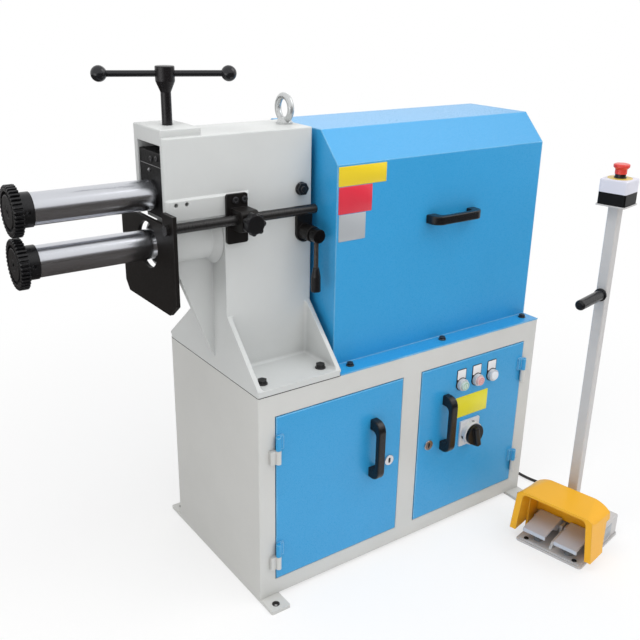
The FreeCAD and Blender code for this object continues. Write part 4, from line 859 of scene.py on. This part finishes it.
dress(blue_paint, "rear_hood")
red_sheet = coat("red_sheet", "DF2C42", 0.35, mottle=0.04, bump=0.03, worn_and_highlight_tone="EC8090")
amber_sheet = coat("amber_sheet", "EED01A", 0.35, mottle=0.04, bump=0.03, worn_and_highlight_tone="F6E07A")
pale_sheet = coat("pale_sheet", "AEB2B6", 0.35, mottle=0.04, bump=0.03, worn_and_highlight_tone="CCCFD2")
for name, low, high, finish, slot in (
    ("hood_plate_top", (-0.194, 0.909), (-0.068, 0.950), amber_sheet, "yellow_paint"),
    ("hood_plate_middle", (-0.193, 0.8505), (-0.105, 0.908), red_sheet, "red_plastic"),
    ("hood_plate_low", (-0.191, 0.792), (-0.1205, 0.8495), pale_sheet, "grey_plastic"),
):
    middle_x, middle_z = (low[0] + high[0]) / 2, (low[1] + high[1]) / 2
    add_piece(
        name, flat_plate(high[0] - low[0], high[1] - low[1], thick=0.0005, corner=0.0015),
        facing_front(middle_x, HOOD_FRONT_Y, middle_z), finish, "machine_frame",
    )


# Gears, pinion, lower sleeve and thrust block
# Cut and turned steel under the hood and in the head, lightly oiled. The sleeve that carries the lower
# shaft is oil blackened, and its end shows through the stop plate's hole.

machined = coat(
    "machined_steel", "A9A9AB", 0.32, metallic=1.0, mottle=0.08, grain=500, bump=0.04, worn_and_highlight_tone="D0D0D2"
)
dress(machined, "upper_gear", "lower_gear", "drive_gear", "pinion", "thrust_block")
dress(oil_black, "lower_sleeve")


# Motor, gearbox and their stand
# A finned motor in dark blue enamel, a dark grey gearbox and a folded steel stand, all under the hood.

motor_enamel = coat("motor_enamel", "2E4A6B", 0.4, worn_and_highlight_tone="58708C", corner_shade=0.3)
dress(motor_enamel, "drive_motor")
gearbox_grey = coat("gearbox_grey", "55565A", 0.45, grain=330, bump=0.12, worn_and_highlight_tone="7A7B7E", corner_shade=0.3)
dress(gearbox_grey, "gearbox")
dress(grey_paint, "motor_stand")


# Control gear and the cable gland
# Moulded electrical parts on a mounting plate inside the cabinet, and the nylon gland in its side.

moulded_pale = coat("moulded_pale", "D9D9D4", 0.5, grain=1300, worn_and_highlight_tone="EDEDEA", corner_shade=0.25)
dress(moulded_pale, "control_gear")
dress(nylon, "cable_gland")


# Pedal base and its post
# A folded steel base with a raised switch housing, and a square steel tube welded on it, sprayed light
# grey. Rubber grommets line its two floor holes and rubber stops catch the pedals. The housing's side
# has a bare plate.

STAND_ORIGIN = (0.256, -0.4435, 0)
STAND_TURN = math.radians(-78)
GROMMETS = (("left_grommet", -0.065), ("right_grommet", 0.065))
GROMMET_DEEP = 0.014
GROMMET_SECTION = [
    (0.0022, 0.0), (0.0048, 0.0), (0.0048, 0.0078), (0.0062, 0.0082), (0.0056, 0.0098), (0.0022, 0.0098)
]
PEDAL_STOPS = (("left_pedal_stop", -0.042), ("right_pedal_stop", 0.042))
PEDAL_STOP_DEEP, PEDAL_STOP_Z = 0.032, 0.008
PEDAL_STOP_SECTION = [
    (0, 0), (0.0115, 0), (0.0105, 0.0070), (0.0095, 0.0080), (0.0060, 0.0080), (0.0050, 0.0050), (0, 0.0050)
]
HOUSING_SIDE, HOUSING_PLATE_DEEP, HOUSING_PLATE_Z = 0.084, 0.144, 0.031
HOUSING_PLATE_WIDTH, HOUSING_PLATE_HEIGHT = 0.050, 0.034
POST_ACROSS, POST_DEEP, HOUSING_TOP = -0.018, 0.150, 0.058
WELD_SECTION = [(0.0174, 0.0), (0.0215, 0.0), (0.0203, 0.0022), (0.0174, 0.0036)]

stand_grey = coat("stand_grey", "C5C3C2", 0.42, grain=700, bump=0.05, worn_and_highlight_tone="EAE8E8", corner_shade=0.1)
dress(stand_grey, "pedal_base", "stand_post")


def on_stand(across, deep, z):
    """The place of a shape on the stand: across is to its right and deep is away from the foot."""
    stand = Matrix.Translation(STAND_ORIGIN) @ Matrix.Rotation(STAND_TURN, 4, "Z")
    return stand @ Matrix.Translation((across, deep, z))


stand_rubber = coat("stand_rubber", "1E1E1F", 0.6, gleam=0.3, mottle=0.15, grain=1300, bump=0.1)
stop_rubber = coat("stop_rubber", "77787A", 0.6, gleam=0.3, mottle=0.1, grain=1300, bump=0.1)
for name, across in GROMMETS:
    add_piece(
        name, turned(GROMMET_SECTION, segments=32, closed=True), on_stand(across, GROMMET_DEEP, 0),
        stand_rubber, "machine_frame",
    )
for name, across in PEDAL_STOPS:
    add_piece(
        name, turned(PEDAL_STOP_SECTION, segments=36), on_stand(across, PEDAL_STOP_DEEP, PEDAL_STOP_Z),
        stop_rubber, "machine_frame",
    )
side_plate = coat("side_plate", "AAB0B5", 0.35, metallic=0.3, bump=0.03, worn_and_highlight_tone="C8CCD0")
faces_right = placed((0, 1, 0), (0, 0, 1), (1, 0, 0), (0, 0, 0))
add_piece(
    "housing_plate", flat_plate(HOUSING_PLATE_WIDTH, HOUSING_PLATE_HEIGHT, thick=0.0005, corner=0.002),
    on_stand(HOUSING_SIDE, HOUSING_PLATE_DEEP, HOUSING_PLATE_Z) @ faces_right, side_plate, "machine_frame",
)
weld = turned(WELD_SECTION, segments=4, closed=True)
bmesh.ops.rotate(weld, cent=(0, 0, 0), matrix=Matrix.Rotation(math.pi / 4, 3, "Z"), verts=weld.verts)
add_piece(
    "post_weld", weld, on_stand(POST_ACROSS, POST_DEEP, HOUSING_TOP), stand_grey, "machine_frame",
)


# Pedal guard
# A deep drawn hood over both pedals, welded and sprayed signal yellow.

yellow_paint = coat(
    "yellow_paint", "F3B11A", 0.36, gleam=0.35, mottle=0.04, grain=420, bump=0.1, worn_and_highlight_tone="FBD05E",
    edge_width=0.003, corner_shade=0.15,
)
dress(yellow_paint, "pedal_guard")


# Pedals
# Two cast alloy pedals with smooth treads. All their edges are painted lighter, partly as wear and partly
# as a painted highlight.

pedal_alloy = coat(
    "pedal_alloy", "BEC4CE", 0.45, grain=500, bump=0.12, worn_and_highlight_tone="D2D4D8", edge_width=0.0025
)
dress(pedal_alloy, "left_pedal", "right_pedal")


# Post handle
# A round grip moulded in the door handles' black nylon, with a flange where it is fixed to the post.

dress(nylon, "post_grip")


# Emergency stop box and button
# A black plastic box with a pale cover and a yellow disc. The red mushroom head stands on a black neck.

COVER_FOOT_Z = 0.9103
NECK_TOP_Z = 0.9195
STOP_AXIS = (0.399, -0.3947)
DISC_Z = 0.910
DISC_SECTION = [(0.0136, 0.0), (0.0270, 0.0), (0.0270, 0.0003), (0.0267, 0.0006), (0.0136, 0.0006)]

box_black = coat(
    "box_black", "0B0C0E", 0.36, gleam=0.18, mottle=0.1, grain=1400, bump=0.08, worn_and_highlight_tone="2E2F32"
)
dress(box_black, "estop_box")
cover_pale = coat(
    "cover_pale", "DADAE5", 0.4, mottle=0.03, grain=1500, worn_and_highlight_tone="EDEDF4", edge_width=0.002
)
split_by_height(cover_pale, COVER_FOOT_Z, "1C1C20", "above")
dress(cover_pale, "estop_cover")
mushroom_red = coat("mushroom_red", "DB4238", 0.26, bump=0.02, rough_spread=0.05)
split_by_height(mushroom_red, NECK_TOP_Z, "17171B", "below")
dress(mushroom_red, "estop_button")
disc_yellow = coat("disc_yellow", "D9BE52", 0.34, bump=0.03)
disc = turned(DISC_SECTION, segments=56, closed=True)
add_piece(
    "estop_disc", disc, Matrix.Translation((*STOP_AXIS, DISC_Z)), disc_yellow, "machine_frame",
)


# Size of the dressed machine
# The box of everything that is shown, without the floor and the cloths, in metres.

low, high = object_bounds()
